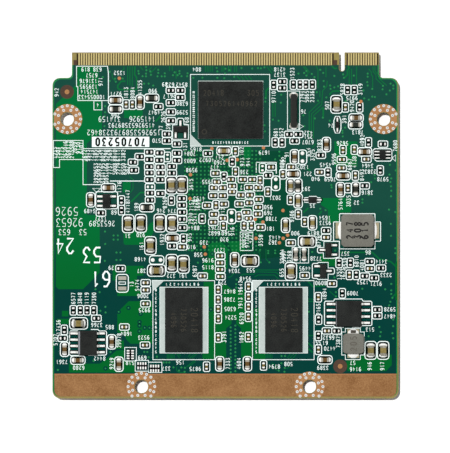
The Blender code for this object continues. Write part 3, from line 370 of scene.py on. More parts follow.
FINE_TRACKS = (
    ((127.7, 66.4), (127.7, 84.7)), ((130, 66.4), (130, 85.5)), ((132.3, 66.4), (132.3, 86.3)), ((123.9, 66.4),
     (123.9, 69), (121.6, 71)), ((139.9, 66.4), (143.4, 70.2)), ((156.4, 67.1), (150.3, 73.3)), ((151.8, 67.1),
     (148.7, 70.2)), ((112, 73.3), (112.4, 77.8), (115.8, 81.7)), ((205.6, 66), (205.6, 71.7)), ((207.9, 66),
     (207.9, 71.7)), ((210.2, 66), (210.2, 71.7)), ((212.4, 66), (212.4, 71.7)), ((222, 66), (222, 71.7)),
    ((223.9, 66), (223.9, 71.7)), ((228.5, 66), (228.5, 71.7)), ((230.8, 66), (230.8, 71.7)), ((234.6, 66),
     (234.6, 71.7)), ((236.6, 66), (236.6, 71.7)), ((236.9, 75.9), (240.4, 79.8)), ((240.8, 75.9),
     (244.2, 79.8)), ((244.6, 75.9), (248, 79.8)), ((248.4, 75.9), (251.9, 79.8)), ((275.2, 100.8),
     (275.2, 116.9)), ((272.9, 101.6), (272.9, 116.9)), ((172.3, 66), (172.3, 71)), ((169.6, 66), (169.6, 71)),
    ((176.1, 78.6), (176.1, 71)), ((266.8, 66.4), (272.1, 73.3)), ((269.8, 66.4), (273.7, 71)), ((349.3, 70.2),
     (349.3, 84.7)), ((351.6, 68.7), (351.6, 84.7)), ((356.6, 66.4), (356.6, 84.7)), ((368.5, 68.7),
     (371.2, 71.7), (371.5, 74.8), (372.7, 76.3), (372.7, 88.6)), ((373.1, 66.4), (373.1, 71.7), (376.1, 74.8),
     (376.1, 78.6), (382.3, 84.7)), ((375, 66.4), (375, 71), (379.2, 75.6), (379.2, 78.6), (386.8, 85.5)),
    ((311.1, 138.3), (311.5, 113.8), (321.8, 104.6), (322.6, 90.9), (326.8, 86.3), (327.2, 80.9)),
    ((309.2, 136.8), (309.2, 112.3), (320.3, 101.6)), ((313.4, 138.3), (313.8, 115.3), (323.3, 106.9)),
    ((303.4, 66.4), (308, 73.3), (306.5, 75.6)), ((305, 66.4), (309.6, 72.5)), ((316.1, 65.6), (318, 70.2),
     (318, 87.8)), ((326, 67.1), (326, 77.1)), ((319.9, 90.9), (319.9, 97)), ((129.6, 176.6), (133, 179.6),
     (133, 188.8), (130.4, 192.6)), ((312.6, 147.5), (315.7, 143.7)), ((253.8, 270), (279.8, 270)),
    ((240.8, 275.7), (243.1, 274.2), (253.8, 274.2), (256.1, 271.9), (276, 272.3), (279.8, 275.7)),
    ((254.5, 276.9), (258.4, 275), (274.4, 275), (278.3, 278.8)), ((227.8, 277.3), (230.8, 276.9),
     (234.6, 272.7)), ((266, 249), (266, 258.9), (269.1, 262.4)), ((258.4, 251.3), (259.9, 253.6),
     (260.3, 261.2)), ((254.2, 252), (254.2, 267.3)), ((329.4, 291.1), (335.6, 296.4)), ((308, 299.1),
     (313.4, 299.1)), ((308, 301.4), (313.4, 301.4)), ((167.3, 353.8), (167.3, 358.6)), ((168.7, 353.8),
     (168.7, 358.6)), ((170.1, 353.8), (170.1, 358.6)), ((171.4, 353.8), (171.4, 358.6)), ((172.8, 353.8),
     (172.8, 358.6)), ((174.2, 353.8), (174.2, 358.6)), ((176.5, 353.6), (179.5, 357.8)), ((178.4, 353.6),
     (180.7, 355.9)), ((189.5, 358.2), (194.5, 353.8)), ((191.8, 358.4), (197.1, 353.8)), ((188, 356.7),
     (191, 353.8)), ((186.4, 367), (194.8, 360.1)), ((188.7, 367), (195.6, 361.4)), ((176.5, 366.6),
     (176.5, 370.5), (178.8, 372.4), (184.9, 372.4)), ((266, 354), (266, 358.2)), ((267.6, 354),
     (267.6, 358.2)), ((269.1, 354), (269.1, 358.2)), ((270.6, 354), (270.6, 358.2)), ((272.1, 354),
     (272.1, 358.2)), ((272.1, 362.8), (278.3, 368.2)), ((271, 364.7), (276, 369.7), (279.8, 371.6)),
    ((308, 335.6), (313.4, 335.6)), ((287.4, 358.2), (290.4, 353.8)), ((289.7, 358.6), (293.5, 353.8)),
    ((292.7, 358.6), (296.5, 354)), ((286.6, 368.9), (290.4, 365.9)),
)


def add_lines(name, runs, width, rise, level, finish):
    """Lines laid on a level of the board; each run is its points and whether it closes on itself."""
    curve = bpy.data.curves.new(name, "CURVE")
    curve.dimensions = "3D"
    curve.bevel_depth = width / 2
    curve.bevel_resolution = 0
    curve.use_fill_caps = True
    for points, closed in runs:
        spline = curve.splines.new("POLY")
        spline.points.add(len(points) - 1)
        for point, (x, y) in zip(spline.points, points):
            point.co = (x, y, 0.0, 1.0)
        spline.use_cyclic_u = closed
    drawing = bpy.data.objects.new(name, curve)
    bpy.context.scene.collection.objects.link(drawing)
    bpy.context.view_layer.update()
    drawn = bpy.data.meshes.new_from_object(drawing.evaluated_get(bpy.context.evaluated_depsgraph_get()))
    bm = bmesh.new()
    bm.from_mesh(drawn)
    bpy.data.objects.remove(drawing)
    bpy.data.curves.remove(curve)
    bpy.data.meshes.remove(drawn)
    bmesh.ops.remove_doubles(bm, verts=bm.verts, dist=0.0000005)
    bmesh.ops.scale(bm, vec=(1.0, 1.0, rise / width * 2), verts=bm.verts)
    bmesh.ops.translate(bm, vec=(0.0, 0.0, level), verts=bm.verts)
    return add_piece(name, bm, finish)


track_finish = lacquer("mask_over_tracks", (22, 116, 62), (8, 104, 56), (14, 96, 56))
for name, tracks, width in (("tracks_broad", BROAD_TRACKS, 0.00032), ("tracks_fine", FINE_TRACKS, 0.00018)):
    runs = [([spot(px, py) for px, py in track], False) for track in tracks]
    add_lines(name, runs, width, 0.00002, SEEN_FACE + MASK_RISE, track_finish)
hidden_tracks = []
for index in range(22):
    x = -0.0150 + index * 0.0011
    bend = 0.0215 + 0.0006 * (index % 5)
    hidden_tracks.append((((x, 0.0322), (x, bend + 0.004), (x - 0.0015, bend), (x - 0.0015, 0.0172)), False))
for index in range(12):
    y = -0.0200 + index * 0.0012
    hidden_tracks.append((((-0.0045, y), (-0.0020, y + 0.0012), (0.0055, y + 0.0012), (0.0075, y)), False))
add_lines("tracks_hidden", hidden_tracks, 0.00018, 0.00002, HIDDEN_FACE - MASK_RISE, track_finish)

# Plated holes: each joins the board's layers, closed over with lacquer, so it shows as a small light green dome.
# A square field of them lies behind the processor, on the pitch of its solder balls.
VIAS = (
    (390, 164.8), (389.6, 174.6), (391.3, 178.4), (390.4, 182), (391.1, 186.3), (391.3, 190.7), (391.1, 196.3),
    (395.8, 170.4), (371.3, 182.2), (389.1, 209.6), (395.4, 212.1), (390.9, 223.9), (391.1, 235.8),
    (395.4, 248.3), (395.4, 253.2), (391.3, 283.9), (385.3, 289.3), (391.3, 290.4), (391.3, 294),
    (392.5, 297.8), (390.4, 301.8), (389.3, 305.4), (113.6, 235.5), (117.9, 235.5), (113.6, 239.6),
    (117.9, 239.6), (116.5, 252.5), (120.5, 252.5), (105.4, 306.9), (105.6, 312.5), (100.4, 310.9),
    (99.6, 292.2), (95.5, 289.3), (104.9, 260.9), (105, 231.5), (105.2, 244), (116.5, 260), (120.5, 260),
    (118.7, 311.8), (128.5, 307.9), (140.6, 313.8), (57.8, 370), (105.5, 368.5), (139.5, 322.1), (139.5, 325.6),
    (139.5, 331.3), (144.7, 327.8), (149.5, 327.9), (144.3, 352), (147.3, 352), (148.6, 357.3), (156.9, 356.7),
    (163.6, 362.5), (166.5, 362.5), (169.4, 362.5), (173.5, 367.4), (181.4, 367.5), (185, 367.9), (179, 370.6),
    (184.6, 371.8), (281.6, 356), (285.1, 356), (281.4, 363.3), (284.8, 368), (278.8, 370.6), (284.5, 371.8),
    (393.3, 319.6), (379.4, 327), (393.3, 326.2), (380.8, 332.1), (380.2, 336.3), (368.6, 336.3),
    (392.5, 333.2), (393.3, 338.3), (138.4, 71), (138.8, 73.6), (142.6, 76.3), (146, 67.1), (146.4, 70.2),
    (146, 73.6), (146, 76.3), (150.3, 71.3), (151, 74.8), (158.3, 69.8), (158.3, 72.9), (157.5, 76.3),
    (161.7, 76.3), (164.8, 73.3), (164.8, 76.3), (122.7, 78.5), (115.1, 78.6), (115.8, 81.7), (109.7, 71.7),
    (109.7, 80.9), (144.1, 83.6), (148.7, 83.6), (153.3, 85.5), (105.1, 106.2), (105.1, 112.3), (104.7, 116.1),
    (104.5, 126.1), (102.8, 77.1), (216.7, 67.9), (217.4, 71.3), (225.5, 68.7), (229.3, 70.2), (241.5, 68.1),
    (252.2, 68.5), (258, 68.1), (261, 68.3), (264.5, 67.3), (225.1, 73.6), (193.3, 77.8), (202.5, 77.7),
    (217.4, 77.8), (224.3, 78.2), (234.3, 76.9), (179.5, 71), (187.6, 73.3), (179.5, 73.6), (174.6, 72.3),
    (173, 75.2), (181.5, 76.2), (187.2, 76.2), (177.6, 75.2), (265.6, 98.1), (265.3, 101.6), (280.9, 102.7),
    (272.9, 119.6), (278.6, 120.7), (264.5, 125.3), (264.9, 131.4), (281.3, 94.7), (320.3, 69.8), (323.3, 72.9),
    (334.4, 75.9), (343.2, 74.4), (353.9, 75.6), (344, 77.8), (323.7, 80.9), (324.1, 86.6), (330.2, 85.5),
    (334.4, 87.4), (338.2, 86.3), (330.6, 88.9), (326.4, 97.4), (318, 100.7), (314.9, 118.4), (322.9, 117.6),
    (329.8, 120.7), (367.7, 73.6), (367.7, 76.7), (367.3, 82.1), (367.7, 85.5), (372.3, 88.9), (383, 85.9),
    (382.6, 89.3), (390.7, 83.6), (393.4, 85.5), (393.4, 88.6), (389.9, 90.5), (386.5, 94.3), (372.3, 96.6),
    (375, 97), (368.9, 99.7), (364.3, 98.4), (363.5, 90.5), (306.5, 71), (298.5, 73.6), (304.2, 72.9),
    (306.5, 75.6), (311.8, 73.9), (314.5, 77.1), (316.8, 92.2), (303.4, 115.3), (304.2, 126.1), (342.5, 130.7),
    (342.5, 132.9), (342.8, 136.4), (345.9, 100.8), (345.1, 127.6), (279.4, 151.7), (279.4, 155.9),
    (275.2, 159.3), (255.7, 159.3), (259.9, 159.3), (251.5, 167.4), (190.3, 157.8), (368.5, 194.9),
    (362.5, 199.4), (362.5, 202.7), (331.4, 185), (331.7, 187.4), (320.3, 208.7), (325.6, 210.2), (375, 178.5),
    (374.6, 175), (236.6, 279.6), (236.2, 284.2), (236.2, 287.6), (259.9, 250.5), (268.3, 250.9),
    (275.2, 250.5), (268.3, 253.2), (275.2, 253.2), (260.7, 262.4), (269.5, 262.4), (212.4, 253.9),
    (197.9, 262.7), (210.9, 309.4), (191.8, 250.5), (335.2, 250.5), (312.2, 252), (334.4, 277.4), (336, 292.2),
    (336, 296.4), (308.8, 311.7), (362.4, 288.8), (93.6, 360.9), (110.5, 352.1),
)


def shape_of(bm):
    """Keep a bmesh as a shape that can be laid down many times."""
    mesh = bpy.data.meshes.new("shape")
    bm.to_mesh(mesh)
    bm.free()
    return mesh


def lay(bm, shape, place):
    """Add a copy of a shape at a place."""
    start = len(bm.verts)
    bm.from_mesh(shape)
    bm.verts.ensure_lookup_table()
    bmesh.ops.transform(bm, matrix=place, verts=bm.verts[start:])


def seat(px, py, turn=0.0):
    """Where a part stands on the seen face."""
    return Matrix.Translation((*spot(px, py), SEEN_FACE)) @ Matrix.Rotation(turn, 4, "Z")


def hang(px, py, turn=0.0):
    """Where a part hangs from the hidden face."""
    flip = Matrix.Rotation(turn, 4, "Z") @ Matrix.Rotation(math.pi, 4, "X")
    return Matrix.Translation((*spot(px, py), HIDDEN_FACE)) @ flip


def lay_pair(bm, shape, place, reach):
    """Add a copy of a shape on each side of a place, reach away from it."""
    for side in (-1, 1):
        lay(bm, shape, place @ Matrix.Translation((side * reach, 0.0, 0.0)))


def extents(name):
    """Low corner, high corner and middle of a CAD node."""
    low, high = (Vector(corner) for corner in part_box(name))
    return low, high, (low + high) / 2


def on_board(name, turn=None):
    """Where a CAD node stands on the seen face or hangs from the hidden one, along its longer side unless told."""
    low, high, middle = extents(name)
    if turn is None:
        turn = 0.0 if high.x - low.x > high.y - low.y else math.pi / 2
    if middle.z > SEEN_FACE:
        return Matrix.Translation((middle.x, middle.y, SEEN_FACE)) @ Matrix.Rotation(turn, 4, "Z")
    flip = Matrix.Rotation(turn, 4, "Z") @ Matrix.Rotation(math.pi, 4, "X")
    return Matrix.Translation((middle.x, middle.y, HIDDEN_FACE)) @ flip


def dome_shape(radius, crown, height, sides=8):
    """A low dome, flat on top."""
    bm = bmesh.new()
    bmesh.ops.create_cone(
        bm, cap_ends=True, segments=sides, radius1=radius, radius2=crown, depth=height,
        matrix=Matrix.Translation((0.0, 0.0, height / 2))
    )
    return shape_of(bm)


def in_plane(px, py):
    """Whether a point of the photograph lies on one of the smaller copper planes."""
    for outline in PLANES[1:]:
        within = False
        for (left, high), (right, low) in zip(outline, outline[1:] + outline[:1]):
            if (high > py) != (low > py) and px < left + (py - high) * (right - left) / (low - high):
                within = not within
        if within:
            return True
    return False


VIA_FIELD_PITCH = 0.0008
VIA_COLUMNS = 20
VIA_ROWS = 26
via_finish = make_finish("mask_over_holes", (46, 146, 84), (28, 112, 62), 6000.0, 0.5, 0.3, relief=0.1, gloss=0.3)
ring = dome_shape(0.00046, 0.00045, 0.00004, 14)
rings = bmesh.new()
for px, py in VIAS:
    if in_plane(px, py):
        lay(rings, ring, seat(px, py))
add_piece("hole_clearings", rings, mask_finish)
dome = dome_shape(0.00025, 0.00014, 0.00006)
field_left, field_top = spot(185.0, 151.0)
bm = bmesh.new()
for px, py in VIAS:
    lay(bm, dome, seat(px, py))
for column in range(VIA_COLUMNS):
    for row in range(VIA_ROWS):
        if 5 < column < 14 and 8 < row < 19:
            continue
        x = field_left + column * VIA_FIELD_PITCH
        y = field_top - row * VIA_FIELD_PITCH
        lay(bm, dome, Matrix.Translation((x, y, SEEN_FACE)))
for row in range(13):
    lay(bm, dome, seat(230.7, 327.4 + 3.74 * row))
    lay(bm, dome, seat(235.4, 325.6 + 3.8 * row))
add_piece("plated_holes_seen", bm, via_finish)
bm = bmesh.new()
for px, py in VIAS:
    lay(bm, dome, hang(px, py))
add_piece("plated_holes_hidden", bm, via_finish)

# Bare copper: where the lacquer is left open for screws and for the carrier's earth strip. A band runs along the
# lower edge and a ring lies round each bore, stitched through the board by small tinned holes.
RING_RADIUS = 0.00303
BAND_REACH = 0.0346
RING_REACH = 0.0347
copper_finish = make_finish(
    "bare_copper", (204, 152, 102), (150, 102, 60), 4200.0, 0.9, 0.42, 0.2, metallic=0.3, relief=0.3
)
tinned_finish = make_finish(
    "tinned_holes", (252, 252, 250), (228, 226, 218), 5000.0, 0.5, 0.38, metallic=0.1, relief=0.2
)
ring_finish = make_finish(
    "copper_ring", (216, 160, 108), (176, 120, 74), 4200.0, 0.8, 0.42, 0.2, metallic=0.25, relief=0.25
)
hole_finish = make_finish("hole_shadow", (150, 158, 156), (118, 122, 118), 6000.0, 0.4, 0.6, relief=0.1)
OTHER_FACE = Matrix.Translation((0.0, 0.0, SEEN_FACE + HIDDEN_FACE)) @ Matrix.Scale(-1.0, 4, (0.0, 0.0, 1.0))


def washer(bm, x, y, inner, outer, bottom, top, limit_x=None, limit_y=None):
    """A flat ring round a bore, cut off at the board's edge."""
    loops = circle_edges(bm, x, y, inner, bottom) + circle_edges(bm, x, y, outer, bottom)
    faces = bmesh.ops.bridge_loops(bm, edges=loops)["faces"]
    for limit, axis in ((limit_x, 0), (limit_y, 1)):
        if limit is None:
            continue
        point = Vector((0.0, 0.0, 0.0))
        normal = Vector((0.0, 0.0, 0.0))
        point[axis] = limit
        normal[axis] = math.copysign(1.0, limit)
        edges = {edge for face in faces for edge in face.edges}
        verts = {vert for face in faces for vert in face.verts}
        cut = bmesh.ops.bisect_plane(
            bm, geom=list(verts) + list(edges) + list(faces), dist=0.0000001, plane_co=point, plane_no=normal,
            clear_outer=True
        )
        faces = [item for item in cut["geom"] if isinstance(item, bmesh.types.BMFace) and item.is_valid]
    raise_faces(bm, faces, top - bottom)


def disc(bm, x, y, radius, bottom, top, sides=12):
    """A small round land."""
    place = Matrix.Translation((x, y, (bottom + top) / 2))
    bmesh.ops.create_cone(
        bm, cap_ends=True, segments=sides, radius1=radius, radius2=radius, depth=top - bottom, matrix=place
    )


def both_faces(name, bm, finish):
    """Add a piece and its like on the other face, as one piece."""
    shape = shape_of(bm)
    bm = bmesh.new()
    lay(bm, shape, Matrix.Identity(4))
    lay(bm, shape, OTHER_FACE)
    return add_piece(name, bm, finish)


bm = bmesh.new()
band = (
    (-BAND_REACH, -BAND_REACH, 0.0012), (BAND_REACH, -BAND_REACH, 0.0012), (BAND_REACH, -0.03007, 0.0),
    (-BAND_REACH, -0.03007, 0.0),
)
bores = [(x, y, BORE_RADIUS + 0.0002) for x, y in BORES if y < 0.0]
plate(bm, band, SEEN_FACE, SEEN_FACE + 0.00004, bores)
both_faces("copper_band", bm, copper_finish)
# A thin strip along the band's upper edge, lighter and more orange, is a painted highlight of that edge.
band_highlight_finish = make_finish(
    "band_edge_highlight", (212, 144, 98), (190, 122, 76), 3000.0, 0.6, 0.4, 0.16, metallic=0.2, relief=0.14
)
bm = bmesh.new()
plate(bm, rectangle(-BAND_REACH, -0.03016, BAND_REACH, -0.03000), SEEN_FACE, SEEN_FACE + 0.000045)
both_faces("copper_band_highlight", bm, band_highlight_finish)
bm = bmesh.new()
pads = bmesh.new()
centres = bmesh.new()
for x, y in BORES:
    edge_x, edge_y = (math.copysign(RING_REACH, x), None) if y > 0.0 else (None, -RING_REACH)
    washer(bm, x, y, BORE_RADIUS + 0.0001, RING_RADIUS, SEEN_FACE, SEEN_FACE + 0.00005, edge_x, edge_y)
    stitches = [(0.0027, math.radians(22.5 * step)) for step in range(16)]
    stitches += [(0.00192, math.radians(22.5 + 45.0 * step)) for step in range(8)]
    for radius, angle in stitches:
        pad_x = x + radius * math.cos(angle)
        pad_y = y + radius * math.sin(angle)
        if abs(pad_x) > 0.0345 or pad_y < -0.0346:
            continue
        disc(pads, pad_x, pad_y, 0.00030, SEEN_FACE, SEEN_FACE + 0.00008)
        disc(centres, pad_x, pad_y, 0.00012, SEEN_FACE, SEEN_FACE + 0.00009, 8)
both_faces("copper_rings", bm, ring_finish)
both_faces("ring_stitches", pads, tinned_finish)
both_faces("ring_stitch_holes", centres, hole_finish)
wall = bmesh.new()
for x, y in BORES:
    washer(wall, x, y, BORE_RADIUS, BORE_RADIUS + 0.0001, HIDDEN_FACE - 0.00001, SEEN_FACE + 0.00001)
add_piece("bore_walls", wall, laminate_finish)

# Fiducials and test points: bare copper dots, the first with a wide clearing in the lacquer for the placing
# machine's camera, the others probed in test on the seen face.
TEST_POINTS = (
    (119.3, 78.2), (211.9, 148.5), (263.5, 147.7), (360.9, 101.5), (227.1, 160.3), (237.3, 159.6),
    (190.5, 174.6), (190, 198.5), (204.3, 246.9), (205.3, 254.2), (283, 210.5), (255.2, 219.4), (262.9, 222.1),
    (256, 238.3), (287.6, 235.2), (283.2, 238.3), (279.4, 242.7),
)
clearing_finish = make_finish("fiducial_clearing", (90, 70, 58), (72, 54, 44), 3000.0, 0.5, 0.6, relief=0.15)
dot_finish = make_finish(
    "bare_copper_dot", (224, 150, 102), (204, 128, 80), 4000.0, 0.4, 0.35, metallic=0.2, relief=0.1
)
bm = bmesh.new()
dots = bmesh.new()
marker_dots = bmesh.new()
for px, py in ((67.0, 91.8), (340.2, 366.3)):
    x, y = spot(px, py)
    disc(bm, x, y, 0.0014, SEEN_FACE, SEEN_FACE + 0.00004, 32)
    disc(marker_dots, x, y, 0.00048, SEEN_FACE, SEEN_FACE + 0.00007, 20)
for px, py in TEST_POINTS:
    disc(dots, *spot(px, py), 0.00035, SEEN_FACE, SEEN_FACE + 0.00007, 16)
both_faces("fiducial_clearings", bm, clearing_finish)
both_faces("fiducial_dots", marker_dots, ring_finish)
add_piece("bare_dots", dots, dot_finish)

# Contact fingers: hard gold over nickel and copper, plated on both faces of the tongue at half a millimetre
# pitch. One long bank and one short bank lie either side of the key slot.
FINGER_PITCH = 0.0005
FINGER_WIDTH = 0.00031
FINGER_END = 0.0348
FINGER_LENGTH = 0.0024
FINGER_BANKS = ((0.0214, -1, 103), (0.02495, 1, 12))
gold_finish = make_finish(
    "hard_gold", (250, 230, 160), (230, 206, 130), 3200.0, 0.5, 0.3, 0.14, metallic=0.3, relief=0.08
)
finger_gap_shade_finish = make_finish("shade_between_fingers", (54, 42, 20), (42, 32, 14), 3200.0, 0.5, 0.6, relief=0.2)
bm = bmesh.new()
bmesh.ops.create_cube(bm, size=1.0)
bmesh.ops.scale(bm, vec=(FINGER_WIDTH, FINGER_LENGTH, 0.00005), verts=bm.verts)
bmesh.ops.translate(bm, vec=(0.0, 0.0, 0.000025), verts=bm.verts)
rims = [edge for edge in bm.edges if min(vert.co.z for vert in edge.verts) > 0.00004]
ease(bm, rims, 0.00003)
finger = shape_of(bm)
bm = bmesh.new()
for start, way, count in FINGER_BANKS:
    for step in range(count):
        x = start + way * FINGER_PITCH * step
        lay(bm, finger, Matrix.Translation((x, FINGER_END - FINGER_LENGTH / 2, SEEN_FACE)))
both_faces("contact_fingers", bm, gold_finish)
# A dark plate under the fingers: bare laminate between them, coloured dark as painted shade between the fingers.
bm = bmesh.new()
for left, right in ((-0.0301, 0.0219), (0.0245, 0.0309)):
    plate(bm, rectangle(left, 0.03247, right, 0.03475), SEEN_FACE - 0.00002, SEEN_FACE + 0.00001)
both_faces("finger_gap_painted_shade", bm, finger_gap_shade_finish)
bm = bmesh.new()
for left, right in ((73.5, 77.0), (333.2, 337.2), (346.4, 347.7)):
    (x_low, y_high), (x_high, y_low) = spot(left, 60.0), spot(right, 65.0)
    plate(bm, rectangle(x_low, y_low, x_high, y_high), SEEN_FACE, SEEN_FACE + 0.00003)
both_faces("tongue_marks", bm, clearing_finish)

# Openings in the lacquer: the bare strip round each pair of lands, where laminate shows, coloured near black as
# painted shade round the parts.
SMALL_RESISTORS_LEVEL = (
    (170.9, 90.4), (180.3, 90.4), (180.3, 97.4), (170.9, 102.7), (170.9, 111.9), (170.9, 120.7), (167, 134),
    (167, 140.8), (177, 143.9), (158.3, 106.6), (282.3, 81.6), (282.3, 88), (149.3, 152.1), (159.6, 152.9),
    (177, 153.2), (177, 160.4), (139.7, 156.6), (133, 162.2), (133.9, 170.2), (149.3, 159.5), (159.3, 160.3),
    (149.3, 166.7), (160.4, 167.1), (171.8, 166.5), (149.5, 172.8), (160.7, 172.9), (171.8, 173.1),
    (149.5, 179.6), (160.4, 179.6), (150, 193), (160.4, 193.5), (150.1, 200), (207.9, 153.4), (181.8, 198.5),
    (181.8, 205.2), (182.1, 212.2), (182.1, 219.2), (182.3, 227.7), (268.2, 175.3), (320.8, 155.2),
    (383, 144.1), (364.7, 185.8), (326.2, 230.6), (172.1, 246), (100.9, 212.9), (120.5, 268.5), (96.4, 318.3),
    (369.7, 261.6), (381, 268.1), (364.8, 276.1), (374, 278), (377.3, 309.6), (377.3, 315.8), (294.6, 140.9),
    (62.7, 338.3), (336.6, 331), (289.3, 134.3), (298.2, 134.3),
)
SMALL_RESISTORS_UPRIGHT = (
    (273.7, 84.9), (293.4, 84.6), (300.2, 84.6), (305.8, 84.6), (312.4, 84.6), (347.7, 90), (354.3, 90),
    (359.7, 107.3), (275.2, 142.4), (282.1, 142.4), (368.5, 142.4), (380.3, 170.4), (232.3, 161.7),
    (224, 176.7), (171.4, 200.5), (121.5, 200.5), (121.5, 210.1), (183.6, 238.7), (328, 172.6), (339.1, 262.9),
    (350.4, 262.8), (356.3, 274.8), (342.3, 293.3), (73.3, 310.3), (80.3, 310.3), (87, 310.3), (93.75, 310.3),
    (64.3, 329.9), (318.6, 319.6), (318.4, 335.9), (202.1, 218.6),
)
SMALL_CAPACITORS_LEVEL = (
    (215.5, 173.3), (230.9, 179.5), (216.9, 182), (214, 187.8), (222.9, 187.8), (232.1, 186.2), (232.1, 191.8),
    (213.3, 195.7), (222.9, 195.7), (271.1, 167.1), (291.2, 167), (242.9, 179.5), (252.3, 179.5),
    (249.2, 187.6), (258.3, 187.6), (240.9, 195.1), (249.9, 195.1), (223.8, 204.1), (214, 214.3),
    (222.9, 218.3), (213.3, 222.2), (258.6, 199.4), (239.6, 203.9), (249.4, 202.8), (258.1, 207.3),
    (246.3, 212.5), (257.9, 214), (248.8, 218.4), (260.5, 227.3), (182.1, 246.9), (290.8, 242.8), (342, 159.5),
    (341.6, 167.9), (366.4, 159.2), (319.7, 172.2), (326.1, 237.4), (304.7, 275.4), (332, 283.7),
    (369.8, 268.5), (202.6, 276), (145.7, 282.8), (145.7, 290), (145.5, 303.8), (220.2, 255.9), (220.2, 262.9),
    (220.2, 269.4), (220.4, 276.6), (124.3, 327), (145, 345.1), (327, 330.9), (207.1, 205.4),
)
SMALL_CAPACITORS_UPRIGHT = (
    (126.1, 104.5), (132.4, 104.5), (345.4, 107.3), (235.4, 151.2), (235.6, 171.7), (260.1, 180.4),
    (267.9, 191.6), (282.9, 174.2), (216, 205.2), (223.5, 225.7), (239.1, 216.6), (244.1, 225.6),
    (251.5, 225.6), (343, 150.1), (354.3, 149.6), (355.4, 175.5), (348, 188), (290.5, 199.8), (298.3, 214.4),
    (304.7, 221.9), (349.4, 274.8), (318.3, 297.3), (218.2, 289.7), (218.2, 299.6), (218.2, 308.9),
    (218.3, 318.5), (218.3, 337.5), (248.5, 286.6), (248.5, 296.7), (248.5, 306.7), (248.4, 316.7),
    (248.4, 337), (206.6, 366.7), (263.6, 365.4), (318.4, 349.7),
)
MEDIUM_RESISTORS_LEVEL = (
    (115.6, 109.1), (151.7, 98.1), (355.6, 124.7), (146.8, 207.6),
)
MEDIUM_RESISTORS_UPRIGHT = (
    (297.9, 186), (355.8, 189.2),
)
MEDIUM_CAPACITORS_LEVEL = (
    (115.6, 100.3), (108.5, 187.8), (224, 150.8), (293.2, 174), (343.3, 175.8), (364.6, 151.8), (356.1, 117.9),
    (172.5, 238.2), (77.9, 360.2), (325, 359.8),
)
MEDIUM_CAPACITORS_UPRIGHT = (
    (140, 102.1), (90.7, 199.8), (326.4, 144.5), (340.4, 189.6), (290.6, 186), (298.1, 200.8), (285.6, 225.3),
    (312.5, 222.8), (234.7, 259.8), (294.5, 156.8), (64.6, 349.3), (111.7, 341.9), (118.9, 364.2),
    (219.8, 363.8), (247.4, 363.8),
)
HIDDEN_ROWS = (
    ((224, 296), (0, 12), 5, 0), ((243, 296), (0, 12), 5, 0), ((316, 257), (12, 0), 4, 90), ((82, 208), (12, 0),
     4, 90), ((150, 165), (0, 12), 7, 0), ((172, 140), (15, 0), 6, 90),
)
BARE_PLACES_SMALL = (
    (167.5, 156.9, 90), (262.5, 168.2, 90), (150, 186.9, 0),
)
BARE_PLACES_MEDIUM = (
    (302.5, 157.2, 90), (275.8, 183.2, 90), (231.6, 216.5, 90), (156.7, 260, 0),
)


def both_ways(level, upright):
    """Places of parts that lie along the board and across it, each with its turn in degrees."""
    return [(px, py, 0.0) for px, py in level] + [(px, py, 90.0) for px, py in upright]


small_resistors = both_ways(SMALL_RESISTORS_LEVEL, SMALL_RESISTORS_UPRIGHT)
small_capacitors = both_ways(SMALL_CAPACITORS_LEVEL, SMALL_CAPACITORS_UPRIGHT)
medium_resistors = both_ways(MEDIUM_RESISTORS_LEVEL, MEDIUM_RESISTORS_UPRIGHT)
medium_capacitors = both_ways(MEDIUM_CAPACITORS_LEVEL, MEDIUM_CAPACITORS_UPRIGHT)
hidden_capacitors = [
    (start[0] + step[0] * index, start[1] + step[1] * index, turn)
    for start, step, count, turn in HIDDEN_ROWS for index in range(count)
]
seen_large = [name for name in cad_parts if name.startswith("capacitor_")]
large_nodes = [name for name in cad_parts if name.startswith(("capacitor_", "bulk_capacitor_"))]
OPENING_RISE = 0.000065
shade_and_dark_print_finish = make_finish("opening_shade_and_dark_print", (0, 22, 16), (6, 16, 11), 5200.0, 0.5, 0.55, relief=0.2, gloss=0.2)


def twin_opening(radius, reach):
    """Two round openings that run into each other, one round each land of a small chip."""
    bm = bmesh.new()
    disc(bm, -reach, 0.0, radius, 0.0, OPENING_RISE)
    disc(bm, reach, 0.0, radius, 0.0, OPENING_RISE - 0.000001)
    return shape_of(bm)


def opening_shape(length, width, corner):
    """A thin field over the lacquer with rounded corners."""
    bm = bmesh.new()
    plate(bm, rectangle(-length / 2, -width / 2, length / 2, width / 2, corner), 0.0, OPENING_RISE)
    return shape_of(bm)


bm = bmesh.new()
small_opening = twin_opening(0.0005, 0.0004)
for places, shape in (
    (small_resistors + small_capacitors, small_opening),
    (medium_resistors + medium_capacitors, opening_shape(0.00268, 0.00144, 0.0005)),
):
    for px, py, turn in places:
        lay(bm, shape, seat(px, py, math.radians(turn)))
large_opening = opening_shape(0.00336, 0.00208, 0.0006)
for name in seen_large:
    lay(bm, large_opening, on_board(name))
bead_opening = opening_shape(0.0027, 0.00120, 0.0004)
for px in (295.8, 304.1):
    lay(bm, bead_opening, seat(px, 254.5, math.pi / 2))
add_piece("openings_seen", bm, shade_and_dark_print_finish)
bm = bmesh.new()
for px, py, turn in hidden_capacitors:
    lay(bm, small_opening, hang(px, py, math.radians(turn)))
add_piece("openings_hidden", bm, shade_and_dark_print_finish)

